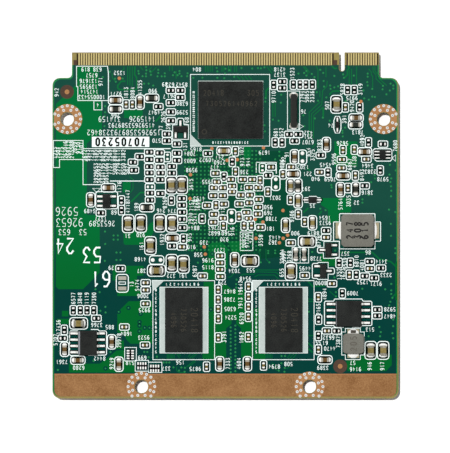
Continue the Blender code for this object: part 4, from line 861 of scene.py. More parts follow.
# Printed marks: white ink outlines round the parts, plain figures beside them and filled corner marks that show
# which way a part goes. Figures are upside down as seen with the tongue at the top.
PRINT_LEVEL = 0.00004
PRINT_RISE = 0.00003
LINE_WIDTH = 0.00018
FIGURE_WIDTH = 0.00013
FIGURE_HEIGHT = 0.00075
FIGURE_PITCH = 0.00061
STROKES = {
    "0": (((-0.1, 0.5), (0.1, 0.5), (0.3, 0.3), (0.3, -0.3), (0.1, -0.5), (-0.1, -0.5), (-0.3, -0.3), (-0.3, 0.3)),
          True),
    "1": (((-0.15, 0.3), (0.05, 0.5), (0.05, -0.5)), False),
    "2": (((-0.3, 0.3), (-0.1, 0.5), (0.1, 0.5), (0.3, 0.3), (0.3, 0.1), (-0.3, -0.5), (0.3, -0.5)), False),
    "3": (((-0.3, 0.5), (0.3, 0.5), (0.0, 0.1), (0.3, -0.15), (0.3, -0.3), (0.1, -0.5), (-0.1, -0.5), (-0.3, -0.3)),
          False),
    "4": (((0.15, -0.5), (0.15, 0.5), (-0.3, -0.15), (0.3, -0.15)), False),
    "5": (((0.3, 0.5), (-0.25, 0.5), (-0.3, 0.1), (0.1, 0.1), (0.3, -0.1), (0.3, -0.3), (0.1, -0.5), (-0.3, -0.5)),
          False),
    "6": (((0.25, 0.5), (-0.05, 0.5), (-0.3, 0.2), (-0.3, -0.3), (-0.1, -0.5), (0.1, -0.5), (0.3, -0.3),
           (0.3, -0.1), (0.1, 0.05), (-0.3, 0.05)), False),
    "7": (((-0.3, 0.5), (0.3, 0.5), (-0.05, -0.5)), False),
    "8": (((0.1, 0.0), (0.3, 0.2), (0.3, 0.35), (0.1, 0.5), (-0.1, 0.5), (-0.3, 0.35), (-0.3, 0.2), (-0.1, 0.0),
           (-0.3, -0.2), (-0.3, -0.35), (-0.1, -0.5), (0.1, -0.5), (0.3, -0.35), (0.3, -0.2)), True),
    "9": (((-0.25, -0.5), (0.05, -0.5), (0.3, -0.2), (0.3, 0.3), (0.1, 0.5), (-0.1, 0.5), (-0.3, 0.3), (-0.3, 0.1),
           (-0.1, -0.05), (0.3, -0.05)), False),
}
LEVEL_NUMBERS = (
    (85.6, 69.4, 3), (97.4, 69.4, 3), (91.7, 75.2, 4), (88.3, 80.9, 6), (88.6, 86.6, 6), (89.4, 91.6, 6),
    (91.7, 97, 9), (119.6, 72.9, 4), (116, 93.8, 4), (152.8, 90.9, 3), (164.8, 84.4, 2), (164.4, 96.4, 1),
    (154.2, 112.4, 4), (115.4, 115.7, 3), (97.8, 105, 1), (196.8, 69.4, 3), (170, 84.7, 3), (181.8, 84.7, 4),
    (171.5, 95.8, 3), (182.2, 103.6, 4), (182.2, 112.4, 4), (279.8, 69.4, 4), (279.8, 74.6, 4),
    (303.6, 111.5, 2), (352, 98.1, 4), (331, 125.3, 2), (357.8, 132.2, 4), (308.4, 132.9, 3), (308.4, 136.8, 3),
    (158.1, 140.6, 4), (89.8, 211, 4), (113.9, 212.5, 2), (100.9, 218.5, 4), (161, 210.6, 3), (196, 149.4, 4),
    (189.9, 153.8, 4), (189.9, 160.9, 4), (206.7, 159.9, 5), (219.7, 157.8, 3), (219.7, 162.4, 4),
    (264.5, 152.5, 4), (191.8, 170.1, 4), (214.7, 167, 3), (244.2, 172, 3), (206.3, 181.9, 3),
    (171.9, 210.8, 3), (199.1, 198.6, 4), (241.5, 187.3, 1), (275.2, 197.8, 4), (268.3, 207.2, 3),
    (268.3, 212.9, 3), (271.4, 218.7, 4), (308, 142.1, 4), (342.5, 143.3, 4), (325.6, 164.9, 4),
    (367.7, 165.8, 4), (370.4, 171.6, 4), (303, 167, 4), (307.6, 173.9, 3), (315.7, 178.9, 3),
    (330.2, 179.2, 4), (382.9, 179.2, 4), (306.1, 188.8, 3), (367.3, 192.6, 4), (312.6, 205.6, 2),
    (324.9, 217.9, 4), (325.2, 222.9, 4), (356.6, 202.6, 2), (127.7, 235.8, 2), (140.7, 235, 3),
    (111.2, 267.9, 2), (140.3, 259.3, 4), (141.5, 270.8, 3), (143, 296, 4), (144.5, 310.2, 4),
    (193.7, 227.9, 4), (214, 227.7, 4), (214, 233.3, 4), (224.3, 233.3, 4), (224.3, 239.4, 3), (204, 242.5, 3),
    (198.3, 254.7, 3), (219.7, 250.1, 4), (207.9, 260.4, 4), (207.9, 267.3, 4), (234.3, 270.8, 4),
    (250.7, 270.2, 3), (171.1, 275.7, 3), (183, 275.7, 3), (191.4, 247, 3), (222.4, 282.6, 3),
    (245.4, 278.8, 4), (229.7, 291.4, 4), (229.7, 299.5, 4), (230.1, 309, 4), (230.8, 317.5, 4),
    (274.8, 237.5, 4), (272.9, 242.5, 3), (270.6, 228.7, 3), (295.4, 233.3, 3), (313.4, 233.3, 4),
    (316.1, 258.5, 4), (345.4, 253.6, 3), (368.1, 252.4, 2), (305, 268.5, 4), (381.5, 261.6, 4),
    (386.1, 275, 4), (362.7, 282.2, 4), (376.1, 283.8, 4), (321, 283, 4), (352.8, 293.3, 4), (389.9, 309.4, 4),
    (389.9, 316.3, 4), (96.7, 324.9, 4), (109.7, 327.2, 3), (126.5, 333.7, 4), (143.8, 337.6, 4),
    (99.7, 358.6, 4), (61.9, 361.9, 4), (78.7, 367.8, 4), (142.2, 357.8, 3), (130, 362.8, 3), (166.3, 368.5, 3),
    (180.3, 362.4, 3), (195.2, 368.9, 4), (274.4, 366.6, 4), (370, 329.5, 3), (328.7, 337.6, 4),
    (325.2, 342.9, 2), (329.8, 348.6, 4), (322.9, 367.8, 4), (288.5, 364, 3), (352.8, 362.8, 2),
    (355.5, 369.3, 4), (318.4, 342.5, 2),
)
UPRIGHT_NUMBERS = (
    (100.5, 81.7, 3), (56.5, 92.4, 3), (126.1, 92.8, 4), (132.5, 92.8, 4), (139.9, 87.4, 5), (163.3, 116.9, 4),
    (161, 128.4, 2), (186.8, 121.5, 3), (168.1, 128.4, 3), (273.7, 97, 4), (275.7, 132.2, 3), (281.3, 132.2, 3),
    (292.3, 73.3, 4), (302.3, 96.6, 4), (306.9, 96.6, 4), (312.2, 96.6, 4), (327.2, 105.4, 3), (342.5, 89.3, 4),
    (360.4, 89.3, 4), (352, 106.2, 4), (344.4, 119.2, 3), (362.4, 137.5, 2), (55, 152.8, 4), (58, 152.8, 4),
    (61.1, 152.8, 4), (65.3, 149.8, 6), (68.5, 149.8, 6), (71.7, 149.8, 6), (74.9, 147.9, 4), (78.2, 147.9, 4),
    (81.2, 147.9, 4), (84.4, 155.5, 4), (87.9, 155.5, 4), (91.4, 155.5, 4), (95.2, 155.5, 4), (99, 155.5, 4),
    (102.8, 155.5, 4), (106.3, 155.5, 4), (109.8, 155.5, 4), (114.7, 155.5, 4), (118.2, 155.5, 4),
    (123.3, 155.5, 4), (95.9, 168.9, 4), (99.2, 168.9, 4), (102.8, 168.9, 4), (106.3, 168.9, 4),
    (109.8, 168.9, 4), (114.7, 168.9, 4), (118.2, 168.9, 4), (123.3, 168.9, 4), (126.8, 168.9, 4),
    (95.9, 179.2, 3), (99.2, 179.2, 3), (102.8, 179.2, 3), (106.3, 179.2, 3), (119.4, 187.3, 4),
    (127.7, 195.7, 4), (127.7, 207.2, 4), (136.5, 207.2, 3), (164.8, 202.6, 4), (185.1, 146.7, 3),
    (241.5, 151.3, 3), (242.3, 162, 3), (248, 162, 3), (191, 184.6, 4), (282.1, 165.1, 4), (191.4, 205.3, 4),
    (194.7, 205.3, 4), (198.1, 205.3, 4), (190.6, 218.7, 4), (194.8, 218.7, 4), (222.8, 211.8, 3),
    (319.5, 145.2, 4), (308.4, 152.1, 3), (312.6, 155.1, 4), (334, 159, 4), (349.7, 164.3, 4), (354.3, 162, 4),
    (362, 143.7, 4), (395.3, 145.9, 4), (286.6, 154.4, 2), (283.5, 161.3, 3), (362, 175, 4), (340.5, 204.1, 4),
    (348.6, 201.1, 4), (291.9, 216.4, 4), (73.3, 298.3, 4), (79.8, 298.3, 4), (86.7, 298.3, 4), (94, 298.3, 4),
    (141.5, 246.3, 3), (162.1, 239.8, 4), (131.5, 284.3, 2), (137.2, 285.3, 4), (189.5, 237.5, 3),
    (232.3, 231.4, 3), (194.8, 271.2, 4), (260.7, 240.5, 4), (243.8, 240.5, 5), (247, 240.5, 5),
    (250.1, 237.5, 4), (240.4, 288, 5), (240.4, 303.3, 4), (282.1, 256.6, 5), (281.7, 272.7, 3),
    (318.7, 241.3, 4), (283.9, 256.6, 4), (289.3, 256.6, 4), (345.1, 263.5, 4), (356.6, 261.2, 4),
    (362, 265, 4), (339, 274.2, 4), (343.2, 274.2, 4), (324.5, 294.1, 4), (318.4, 309.4, 4), (58.4, 327.2, 5),
    (55.4, 339.8, 4), (118.9, 340.6, 5), (111.6, 363.6, 4), (241.5, 318.4, 4), (224.3, 336.8, 4),
    (241.5, 337.6, 4), (227.8, 363.6, 4), (238.9, 363.6, 4), (338.2, 340.6, 5), (369.6, 366.2, 3),
    (382.3, 366.2, 3),
)
LONG_NUMBERS = (
    (109.5, 119.2, 6, 5, 3.8), (142.2, 119, 7, 5, 3.8), (131.5, 125.3, 14, 4.2, 3.36),
    (123.8, 132.5, 19, 5, 3.9), (66.8, 211.4, 4, 8, 6), (69.5, 222.5, 5, 8, 5.6), (102, 223.6, 7, 5, 3.8),
    (64.3, 232.1, 3, 5.4, 4.2), (82.9, 232.1, 2, 5.4, 4.2),
)
PART_OUTLINES = (
    ((76.5, 66.2), (107.5, 66.2), (108.4, 73), (108.4, 100.5), (77.8, 100.5), (77.8, 86.5), (76.5, 86.5)),
    field(93.9, 100.7, 101.9, 109.8), ((53.3, 140.5), (83, 140.5), (83, 159.5), (59.5, 159.5), (59.5, 167.5),
     (53.3, 167.5)), field(240.3, 232, 252.8, 250.5), field(190.5, 74.4, 269.7, 146),
    field(152.9, 280.6, 214.6, 359.7), field(252.5, 280.6, 314.1, 359.7), ((323.9, 241.4), (339.3, 241.4),
     (339.3, 256.9), (333.9, 258.3), (323.5, 258.3), (323.5, 252.9), (318.6, 252.9), (317.5, 251.6),
     (317.5, 248.6), (318.6, 247.5), (323.9, 247.5)), ((318.4, 262.4), (328.2, 262.4), (328.2, 268),
     (333.2, 268), (334.5, 269.4), (334.5, 272.9), (333.2, 274.2), (328.2, 274.2), (328.2, 279.4), (318, 279.4),
     (317, 278.4), (313.4, 278.4), (312.3, 277.3), (312.3, 264.6), (313.4, 263.4), (317.5, 263.4)),
    ((172.6, 125), (177, 124.6), (177, 119.8), (178.3, 118.2), (182.7, 118.2), (183.9, 119.8), (183.9, 124.6),
     (188.5, 125), (188.5, 139.3), (172.6, 139.3)), field(292.2, 247.5, 300.2, 263),
    field(300.2, 247.5, 308.6, 263), field(118.9, 281.9, 125.5, 284.3), field(159.9, 287.2, 208, 353),
    field(259.2, 287.2, 307.5, 353), ((340, 213.7), (374.6, 213.7), (375, 214.2), (375, 221.9), (380.1, 221.9),
     (380.6, 222.4), (380.6, 240.7), (380.1, 241.2), (375, 241.2), (375, 248.9), (339.6, 248.9), (339.6, 241.2),
     (334.1, 241.2), (333.6, 240.7), (333.6, 222.4), (334.1, 221.9), (339.6, 221.9), (339.6, 214.2)),
    ((345.4, 328.4), (360.4, 328.4), (360.4, 332), (364.3, 332), (364.3, 355), (360.4, 355), (360.4, 359.6),
     (345.4, 359.6), (345.4, 355), (341.8, 355), (341.8, 332), (345.4, 332)), field(287.5, 91, 299.7, 129.8),
    ((96.9, 191.7), (116.5, 191.7), (117.6, 193), (117.6, 207.6), (116.5, 208.8), (96.9, 208.8), (95.8, 207.6),
     (95.8, 193)), ((374.7, 148.7), (390.3, 148.7), (391.9, 150.2), (391.9, 159.4), (390.3, 161.1),
     (376.6, 161.1), (373.3, 158.2), (373.3, 150.2)), ((304.7, 197.7), (308.4, 197.6), (309.4, 196.4),
     (316.1, 196.4), (317.4, 197.6), (320.1, 197.8), (320.1, 202.2), (316.9, 202.4), (315.8, 203.2),
     (309.4, 203.2), (308.2, 202.3), (304.7, 202.3)), ((335.4, 116.4), (339.4, 116.4), (341, 120.5), (341, 129),
     (339.4, 132.9), (335.4, 132.9), (333.9, 129), (333.9, 120.5)), field(124.7, 347.5, 136.3, 361),
    field(135.2, 360.4, 148.4, 371.2), field(148.4, 362.2, 161.8, 372.5),
)
FILLED_MARKS = (
    ((190.5, 134.4), (202.3, 146.3), (190.5, 146.3)), ((152.2, 280.4), (164, 280.4), (152.9, 291)),
    ((252.1, 280.4), (263.9, 280.4), (252.8, 291.5)),
)
OPEN_OUTLINES = (
    ((170.7, 148.6), (83, 148.6), (83, 184.6), (100.7, 184.6)), ((110, 181), (144, 181)), ((256.3, 172.5),
     (256.3, 162.3), (276.3, 162.3), (276.3, 173.5)), ((352.4, 327.2), (361, 327.2), (362.2, 325.6),
     (370.8, 325.6), (371.9, 324.5), (371.9, 302.3), (370.8, 301.2), (363.2, 301.2), (361.7, 299), (334.8, 299),
     (333.6, 301.2), (325.6, 301.2), (324.5, 302.3), (324.5, 324.5), (325.6, 325.6), (333.6, 325.6),
     (335, 327.2), (343.9, 327.2)), ((90.9, 329.5), (98, 329.5), (99.2, 331), (105.4, 331), (106.5, 332),
     (106.5, 354), (105.4, 355.1), (88, 355.4)), ((78, 331), (70.6, 331), (69.5, 332), (69.5, 354.5),
     (70.6, 355.6), (79, 355.6)),
)
NAME_FIELD = field(91.9, 136.7, 149.3, 147.0)
MEMORY_STRIPS = ((159.8, 165.4), (202.1, 207.9), (259.2, 265.3), (302.0, 307.5))
SMALL_POINTERS = (
    ((92.6, 188.4), (100.4, 188.4), (96.6, 192.6)), ((392, 158), (395.6, 155), (395.6, 161.2)), ((298.6, 123.6),
     (298.6, 129.2), (303.4, 126.4)),
)


def figures(digits, middle, height, pitch, turn):
    """Lines of a row of plain figures about a middle point."""
    place = Matrix.Translation((*middle, 0.0)) @ Matrix.Rotation(turn, 4, "Z")
    runs = []
    for index, digit in enumerate(digits):
        points, closed = STROKES[digit]
        start = (index - (len(digits) - 1) / 2) * pitch
        placed = [place @ Vector((start + x * height * 0.7, y * height, 0.0)) for x, y in points]
        runs.append(([(point.x, point.y) for point in placed], closed))
    return runs


def box_line(middle, turn, length, width, corner, steps=1):
    """Closed outline with rounded corners round a part."""
    place = Matrix.Translation((*middle, 0.0)) @ Matrix.Rotation(turn, 4, "Z")
    placed = []
    for quarter, (side_x, side_y) in enumerate(((1, 1), (-1, 1), (-1, -1), (1, -1))):
        for step in range(steps + 1):
            angle = (quarter + step / steps) * math.pi / 2
            x = side_x * (length / 2 - corner) + corner * math.cos(angle)
            y = side_y * (width / 2 - corner) + corner * math.sin(angle)
            placed.append(place @ Vector((x, y, 0.0)))
    return [(point.x, point.y) for point in placed], True


ink_finish = make_finish("white_ink", (270, 282, 279), (254, 268, 264), 5200.0, 0.45, 0.6, relief=0.1)


def print_lines(name, runs, width, finish=ink_finish, level=SEEN_FACE + PRINT_LEVEL):
    """Lines of white ink on a face of the board."""
    add_lines(name, runs, width, PRINT_RISE, level, finish)


outlines = []
for places, length, width, corner, steps in (
    (small_resistors + small_capacitors + list(BARE_PLACES_SMALL), 0.00212, 0.00148, 0.0002, 1),
    (medium_resistors + medium_capacitors + list(BARE_PLACES_MEDIUM), 0.0031, 0.0019, 0.00055, 3),
):
    for px, py, turn in places:
        size = (length - LINE_WIDTH, width - LINE_WIDTH)
        outlines.append(box_line(spot(px, py), math.radians(turn), *size, corner, steps))
for name in seen_large:
    low, high, middle = extents(name)
    turn = 0.0 if high.x - low.x > high.y - low.y else math.pi / 2
    outlines.append(box_line(middle.xy, turn, 0.0038 - LINE_WIDTH, 0.0025 - LINE_WIDTH, 0.0006, 3))
outlines.append(box_line(spot(122.3, 283.3), math.pi / 2, 0.0038 - LINE_WIDTH, 0.0026 - LINE_WIDTH, 0.0006, 3))
for table, closed in ((PART_OUTLINES + SMALL_POINTERS + FILLED_MARKS, True), (OPEN_OUTLINES, False)):
    for outline in table:
        outlines.append(([spot(px, py) for px, py in outline], closed))
print_lines("print_outlines", outlines, LINE_WIDTH)
numbers = []
for table, stride, turn in ((LEVEL_NUMBERS, 7919, math.pi), (UPRIGHT_NUMBERS, 6271, math.pi / 2)):
    for index, (px, py, count) in enumerate(table):
        digits = str(10 ** (count - 1) + (stride * (index + 1)) % (9 * 10 ** (count - 1)))
        numbers += figures(digits, spot(px, py), FIGURE_HEIGHT, FIGURE_PITCH, turn)
for index, (px, py, count, height, pitch) in enumerate(LONG_NUMBERS):
    digits = ("31415926535897932384626" * 2)[index:index + count]
    numbers += figures(digits, spot(px, py), height * PIXEL, pitch * PIXEL, math.pi)
print_lines("print_numbers", numbers, FIGURE_WIDTH)
big_numbers = []
for digits, px, py in (("24", 65.0, 246.0), ("53", 92.0, 255.0), ("61", 101.0, 279.0)):
    big_numbers += figures(digits, spot(px, py), 0.0030, 0.0021, math.pi)
print_lines("print_big_numbers", big_numbers, 2 * LINE_WIDTH)
row_figures = []
for count, start, step_to, first, size, turn in (
    (14, (213.0, 142.5), (2.67, 0.0), 0, 0.00042, math.pi), (21, (193.7, 92.0), (0.0, 1.95), 0, 0.00036, math.pi / 2),
    (9, (166.5, 284.3), (3.98, 0.0), 1, 0.00046, math.pi), (9, (267.6, 284.3), (3.98, 0.0), 1, 0.00046, math.pi),
    (16, (155.9, 290.0), (0.0, 4.13), 0, 0.00046, math.pi), (16, (256.3, 290.0), (0.0, 4.13), 0, 0.00046, math.pi),
):
    for step in range(count):
        at = spot(start[0] + step_to[0] * step, start[1] + step_to[1] * step)
        row_figures += figures(str((step + first) % 10), at, size, 0.0, turn)
print_lines("print_row_figures", row_figures, FIGURE_WIDTH)
strip_finish = make_finish("thin_ink_and_edge_highlight", (214, 224, 220), (180, 198, 192), 3000.0, 0.6, 0.6, relief=0.1)
bm = bmesh.new()
strips = [field(left, 287.2, right, 353.0) for left, right in MEMORY_STRIPS]
for outline in strips + list(FILLED_MARKS):
    plate(bm, sharp(outline), SEEN_FACE + 0.00002, SEEN_FACE + PRINT_LEVEL + 0.00002)
add_piece("print_strips", bm, strip_finish)
# A light line drawn round the flash package's edge is a painted highlight of that edge.
flash_edge = [spot(px, py) for px, py in field(198.4, 81.0, 263.0, 138.3)]
print_lines("flash_edge_highlight", [(flash_edge, True)], 0.0002, strip_finish)
bm = bmesh.new()
plate(bm, sharp(NAME_FIELD), SEEN_FACE + 0.00002, SEEN_FACE + PRINT_LEVEL + PRINT_RISE)
add_piece("print_name_field", bm, ink_finish)
name_digits = figures("70705230", spot(120.6, 141.9), 0.00145, 0.00132, math.pi)
add_lines(
    "print_reversed", name_digits, 0.0004, 0.00002, SEEN_FACE + PRINT_LEVEL + PRINT_RISE, shade_and_dark_print_finish,
)
hidden_outlines = []
for px, py, turn in hidden_capacitors:
    hidden_outlines.append(box_line(spot(px, py), math.radians(turn), 0.00185, 0.00137, 0.0003))
for names, spare in (
    (("processor_base",), 0.0016), (("memory_left_lower", "memory_right_lower"), 0.0022),
    (("power_manager", "network_chip"), 0.0012),
    (("clock_crystal_1", "clock_crystal_2", "buck_coil_1", "buck_coil_2", "buck_coil_3"), 0.0010),
    ([f"bulk_capacitor_{number}" for number in range(1, 5)], 0.0015),
):
    for name in names:
        low, high, middle = extents(name)
        size = (high.x - low.x + spare, high.y - low.y + spare * 0.8)
        hidden_outlines.append(box_line(middle.xy, 0.0, *size, 0.0004))
print_lines("print_outlines_hidden", hidden_outlines, LINE_WIDTH, level=HIDDEN_FACE - PRINT_LEVEL)
hidden_numbers = []
for index, (px, py, turn) in enumerate(hidden_capacitors):
    digits = str(100 + (37 * (index + 1)) % 900)
    x, y = spot(px, py)
    upright = turn > 45.0
    middle = (x, y + 0.0019) if upright else (x + 0.0022, y)
    for points, closed in figures(digits, middle, FIGURE_HEIGHT, FIGURE_PITCH, math.pi / 2 if upright else 0.0):
        flipped = [(2 * middle[0] - point_x, point_y) for point_x, point_y in points]
        hidden_numbers.append((flipped, closed))
print_lines("print_numbers_hidden", hidden_numbers, FIGURE_WIDTH, level=HIDDEN_FACE - PRINT_LEVEL)

# Chip resistors and chip capacitors: ceramic bricks a millimetre or two long with tinned end caps, soldered
# flat to two lands each. Resistors are black and low, capacitors brown and taller.
def block(bm, middle, size, edge=0.0, segments=1):
    """A brick, its edges eased if edge is given."""
    made = bmesh.ops.create_cube(bm, size=1.0)["verts"]
    bmesh.ops.scale(bm, vec=size, verts=made)
    if edge:
        eased = ease(bm, list({item for vert in made for item in vert.link_edges}), edge, segments)
        made = list({vert for face in eased["faces"] for vert in face.verts})
    bmesh.ops.translate(bm, vec=middle, verts=made)


def add_block(name, middle, size, edge, finish, nodes=(), segments=1):
    """A piece that is one brick."""
    bm = bmesh.new()
    block(bm, middle, size, edge, segments)
    add_piece(name, bm, finish, nodes)


def step_face(bm, face, rise, shrink):
    """Extrude a closed shape's face and scale it; the old face goes and the result is the new one."""
    raised = bmesh.ops.extrude_face_region(bm, geom=[face])["geom"]
    bmesh.ops.delete(bm, geom=[face], context="FACES_ONLY")
    moved = next(item for item in raised if isinstance(item, bmesh.types.BMFace))
    bmesh.ops.translate(bm, vec=(0.0, 0.0, rise), verts=moved.verts)
    bmesh.ops.scale(bm, vec=(shrink, shrink, 1.0), verts=moved.verts)
    return moved


def solder_shape(length, width, height):
    """A pad's heap of solder: eight-sided, steep at its foot and round on top."""
    bm = bmesh.new()
    place = Matrix.Translation((0.0, 0.0, 0.2)) @ Matrix.Rotation(math.radians(22.5), 4, "Z")
    bmesh.ops.create_cone(bm, cap_ends=True, segments=8, radius1=0.54, radius2=0.5, depth=0.4, matrix=place)
    top = max(bm.faces, key=lambda face: face.calc_center_median().z)
    for rise, shrink in ((0.4, 0.8), (0.2, 0.5)):
        top = step_face(bm, top, rise, shrink)
    bmesh.ops.scale(bm, vec=(length, width, height), verts=bm.verts)
    return shape_of(bm)


def chip_shapes(length, width, height, cap, edge):
    """Body and end caps of a chip part that lies along X."""
    lift = 0.00008
    middle_height = lift + (height - lift) / 2
    body = bmesh.new()
    size = (length - cap * 1.6, width - 0.00004, height - lift - 0.00002)
    block(body, (0.0, 0.0, middle_height), size, edge * 0.6)
    caps = bmesh.new()
    for side in (-1, 1):
        block(caps, (side * (length - cap) / 2, 0.0, middle_height), (cap, width, height - lift), edge)
    return shape_of(body), shape_of(caps)


resistor_finish = make_finish("resistor_coat", (50, 54, 49), (66, 68, 62), 9000.0, 0.5, 0.4, relief=0.12, gloss=0.3)
small_resistor_finish = make_finish(
    "small_resistor_coat", (4, 4, 4), (20, 19, 18), 9000.0, 0.5, 0.5, relief=0.12, gloss=0.1
)
brown_finish = make_finish("brown_ceramic", (120, 92, 52), (82, 60, 30), 5200.0, 0.8, 0.46, relief=0.2)
ochre_finish = make_finish("ochre_ceramic", (138, 120, 62), (98, 80, 34), 5200.0, 0.8, 0.46, relief=0.2)
tan_finish = make_finish("tan_ceramic", (158, 142, 88), (106, 90, 46), 3600.0, 0.8, 0.42, relief=0.18)
end_finish = make_finish(
    "tinned_ends", (212, 208, 194), (170, 164, 146), 5200.0, 0.6, 0.36, 0.18, metallic=0.25, relief=0.2
)
solder_finish = make_finish(
    "solder", (280, 280, 276), (254, 252, 244), 3600.0, 0.5, 0.3, 0.2, metallic=0.1, relief=0.2
)
SMALL_REACH = 0.00046
MEDIUM_REACH = 0.00090
TAN_PLACES = ((290.6, 186.0), (285.6, 225.3), (312.5, 222.8), (298.1, 200.8), (224.0, 150.8))
tan_capacitors = [place for place in medium_capacitors if place[:2] in TAN_PLACES]
brown_capacitors = [place for place in medium_capacitors if place[:2] not in TAN_PLACES]
resistors, small_bodies, capacitors, small_bricks, tan_bodies, ends, small_ends, heaps = (
    bmesh.new() for piece in range(8)
)
small_heap = solder_shape(0.00036, 0.00060, 0.00022)
medium_heap = solder_shape(0.00072, 0.00100, 0.0003)
for places, length, width, height, cap, shapes in (
    (small_resistors, 0.0010, 0.00054, 0.00035, 0.00026, small_bodies),
    (small_capacitors, 0.0010, 0.00054, 0.0005, 0.00028, small_bricks),
    (medium_resistors, 0.0016, 0.00084, 0.00045, 0.0003, resistors),
    (brown_capacitors, 0.0016, 0.00084, 0.0008, 0.00044, capacitors),
    (tan_capacitors, 0.0016, 0.00084, 0.0008, 0.00040, tan_bodies),
):
    body, caps = chip_shapes(length, width, height, cap, 0.00005)
    small = length < 0.0012
    for px, py, turn in places:
        place = seat(px, py, math.radians(turn))
        lay(shapes, body, place)
        lay(small_ends if small else ends, caps, place)
        lay_pair(heaps, small_heap if small else medium_heap, place, SMALL_REACH if small else MEDIUM_REACH)
land_small = solder_shape(0.00046, 0.00058, 0.0001)
land_medium = solder_shape(0.00078, 0.00078, 0.00012)
for places, shape, reach in ((BARE_PLACES_SMALL, land_small, 0.00042), (BARE_PLACES_MEDIUM, land_medium, 0.0008)):
    for px, py, turn in places:
        lay_pair(heaps, shape, seat(px, py, math.radians(turn)), reach)
add_piece("chip_resistors", resistors, resistor_finish)
add_piece("small_chip_resistors", small_bodies, small_resistor_finish)
add_piece("chip_capacitors", capacitors, brown_finish)
add_piece("small_chip_capacitors", small_bricks, ochre_finish)
add_piece("chip_capacitors_tan", tan_bodies, tan_finish)
add_piece("chip_ends", ends, end_finish)
add_piece("small_chip_ends", small_ends, solder_finish)
add_piece("chip_solder", heaps, solder_finish)
body, caps = chip_shapes(0.0010, 0.0005, 0.0005, 0.00030, 0.00005)
capacitors, ends, heaps = (bmesh.new() for piece in range(3))
for px, py, turn in hidden_capacitors:
    place = hang(px, py, math.radians(turn))
    lay(capacitors, body, place)
    lay(ends, caps, place)
    lay_pair(heaps, small_heap, place, SMALL_REACH)
add_piece("hidden_chip_capacitors", capacitors, ochre_finish)
add_piece("hidden_chip_ends", ends, end_finish)
add_piece("hidden_chip_solder", heaps, solder_finish)

# Large chip capacitors and beads: the same kind of brick in bigger sizes, the capacitors tan with tinned ends,
# the beads tinned nearly all over. Their lands reach well past their ends.
cap_finish = make_finish(
    "dipped_ends", (206, 204, 190), (128, 122, 104), 2600.0, 0.9, 0.34, 0.18, metallic=0.25, relief=0.2
)
large_body, large_caps = chip_shapes(0.0020, 0.00125, 0.00135, 0.00056, 0.0001)
large_land = solder_shape(0.00088, 0.0017, 0.0005)
lift = Matrix.Translation((0.0, 0.0, 0.0001))
bodies, ends, heaps = (bmesh.new() for piece in range(3))
for name in large_nodes:
    place = on_board(name)
    lay(bodies, large_body, place @ lift)
    lay(ends, large_caps, place @ lift)
    lay_pair(heaps, large_land, place, 0.00102)
pads = bmesh.new()
for side in (-1, 1):
    x, y = spot(122.3, 283.3 + side * 5.15)
    block(pads, (x, y, SEEN_FACE + 0.00006), (0.00166, 0.00078, 0.00012), 0.00005)
add_piece("bare_large_pads", pads, end_finish)
add_piece("large_capacitor_bodies", bodies, tan_finish, large_nodes)
add_piece("large_capacitor_ends", ends, cap_finish, large_nodes)
add_piece("large_capacitor_solder", heaps, solder_finish)
bead_finish = make_finish(
    "bead_plating", (196, 194, 184), (112, 102, 92), 2600.0, 1.0, 0.3, 0.16, metallic=0.3, relief=0.3
)
bead_body = chip_shapes(0.0016, 0.00068, 0.00104, 0.0004, 0.00012)[0]
bead_caps = chip_shapes(0.0016, 0.00084, 0.00108, 0.0004, 0.00008)[1]
bead_land = solder_shape(0.0008, 0.0010, 0.0003)
bodies, ends, heaps = (bmesh.new() for piece in range(3))
for name in ("bead_left", "bead_right"):
    place = on_board(name, math.pi / 2)
    lay(bodies, bead_body, place)
    lay(ends, bead_caps, place)
    lay_pair(heaps, bead_land, place, 0.00098)
add_piece("bead_bodies", bodies, bead_finish, ["bead_left", "bead_right"])
add_piece("bead_ends", ends, end_finish)
add_piece("bead_solder", heaps, solder_finish)

# Resistor arrays: four resistors side by side on one ceramic chip, with a row of four tinned tabs along each
# long side.
bodies, heaps, chip, tabs = (bmesh.new() for piece in range(4))
block(chip, (0.0, 0.0, 0.00037), (0.0021, 0.00096, 0.00052), 0.00005)
chip = shape_of(chip)
for side in (-1, 1):
    for step in (-1.5, -0.5, 0.5, 1.5):
        tab = bmesh.new()
        block(tab, (step * 0.00051, side * 0.00045, 0.00034), (0.00030, 0.00056, 0.00068), 0.00004)
        lay(tabs, shape_of(tab), Matrix.Identity(4))
tabs = shape_of(tabs)
array_nodes = ["resistor_array_1", "resistor_array_2", "resistor_array_3"]
for name in array_nodes:
    lay(bodies, chip, on_board(name))
    lay(heaps, tabs, on_board(name))
add_piece("resistor_array_bodies", bodies, small_resistor_finish, array_nodes)
add_piece("resistor_array_tabs", heaps, solder_finish)

# Ball-grid packages: the flash memory, two memories on each face. Each is a thin green carrier with a black
# moulding over it, held to the board by small solder balls, of which the outer rows that can be seen are made.
BALL_PITCH = 0.0008
CARRIER_THICKNESS = 0.00022
JUST_INSIDE = 0.00001
mould_finish = make_finish("black_mould", (52, 54, 52), (26, 27, 27), 5200.0, 0.95, 0.5, 0.14, relief=0.5, gloss=0.3)
carrier_finish = make_finish("package_carrier", (22, 92, 62), (14, 74, 48), 3000.0, 0.5, 0.4, relief=0.12)
ball_finish = make_finish("solder_balls", (190, 190, 184), (150, 148, 140), 3200.0, 0.5, 0.34, metallic=0.6)
mark_finish = make_finish("laser_marks", (72, 69, 60), (60, 58, 52), 5200.0, 0.5, 0.65, relief=0.15)
ball_bm = bmesh.new()
bmesh.ops.create_uvsphere(ball_bm, u_segments=8, v_segments=6, radius=0.00019)
ball = shape_of(ball_bm)
balls = bmesh.new()
marks = []
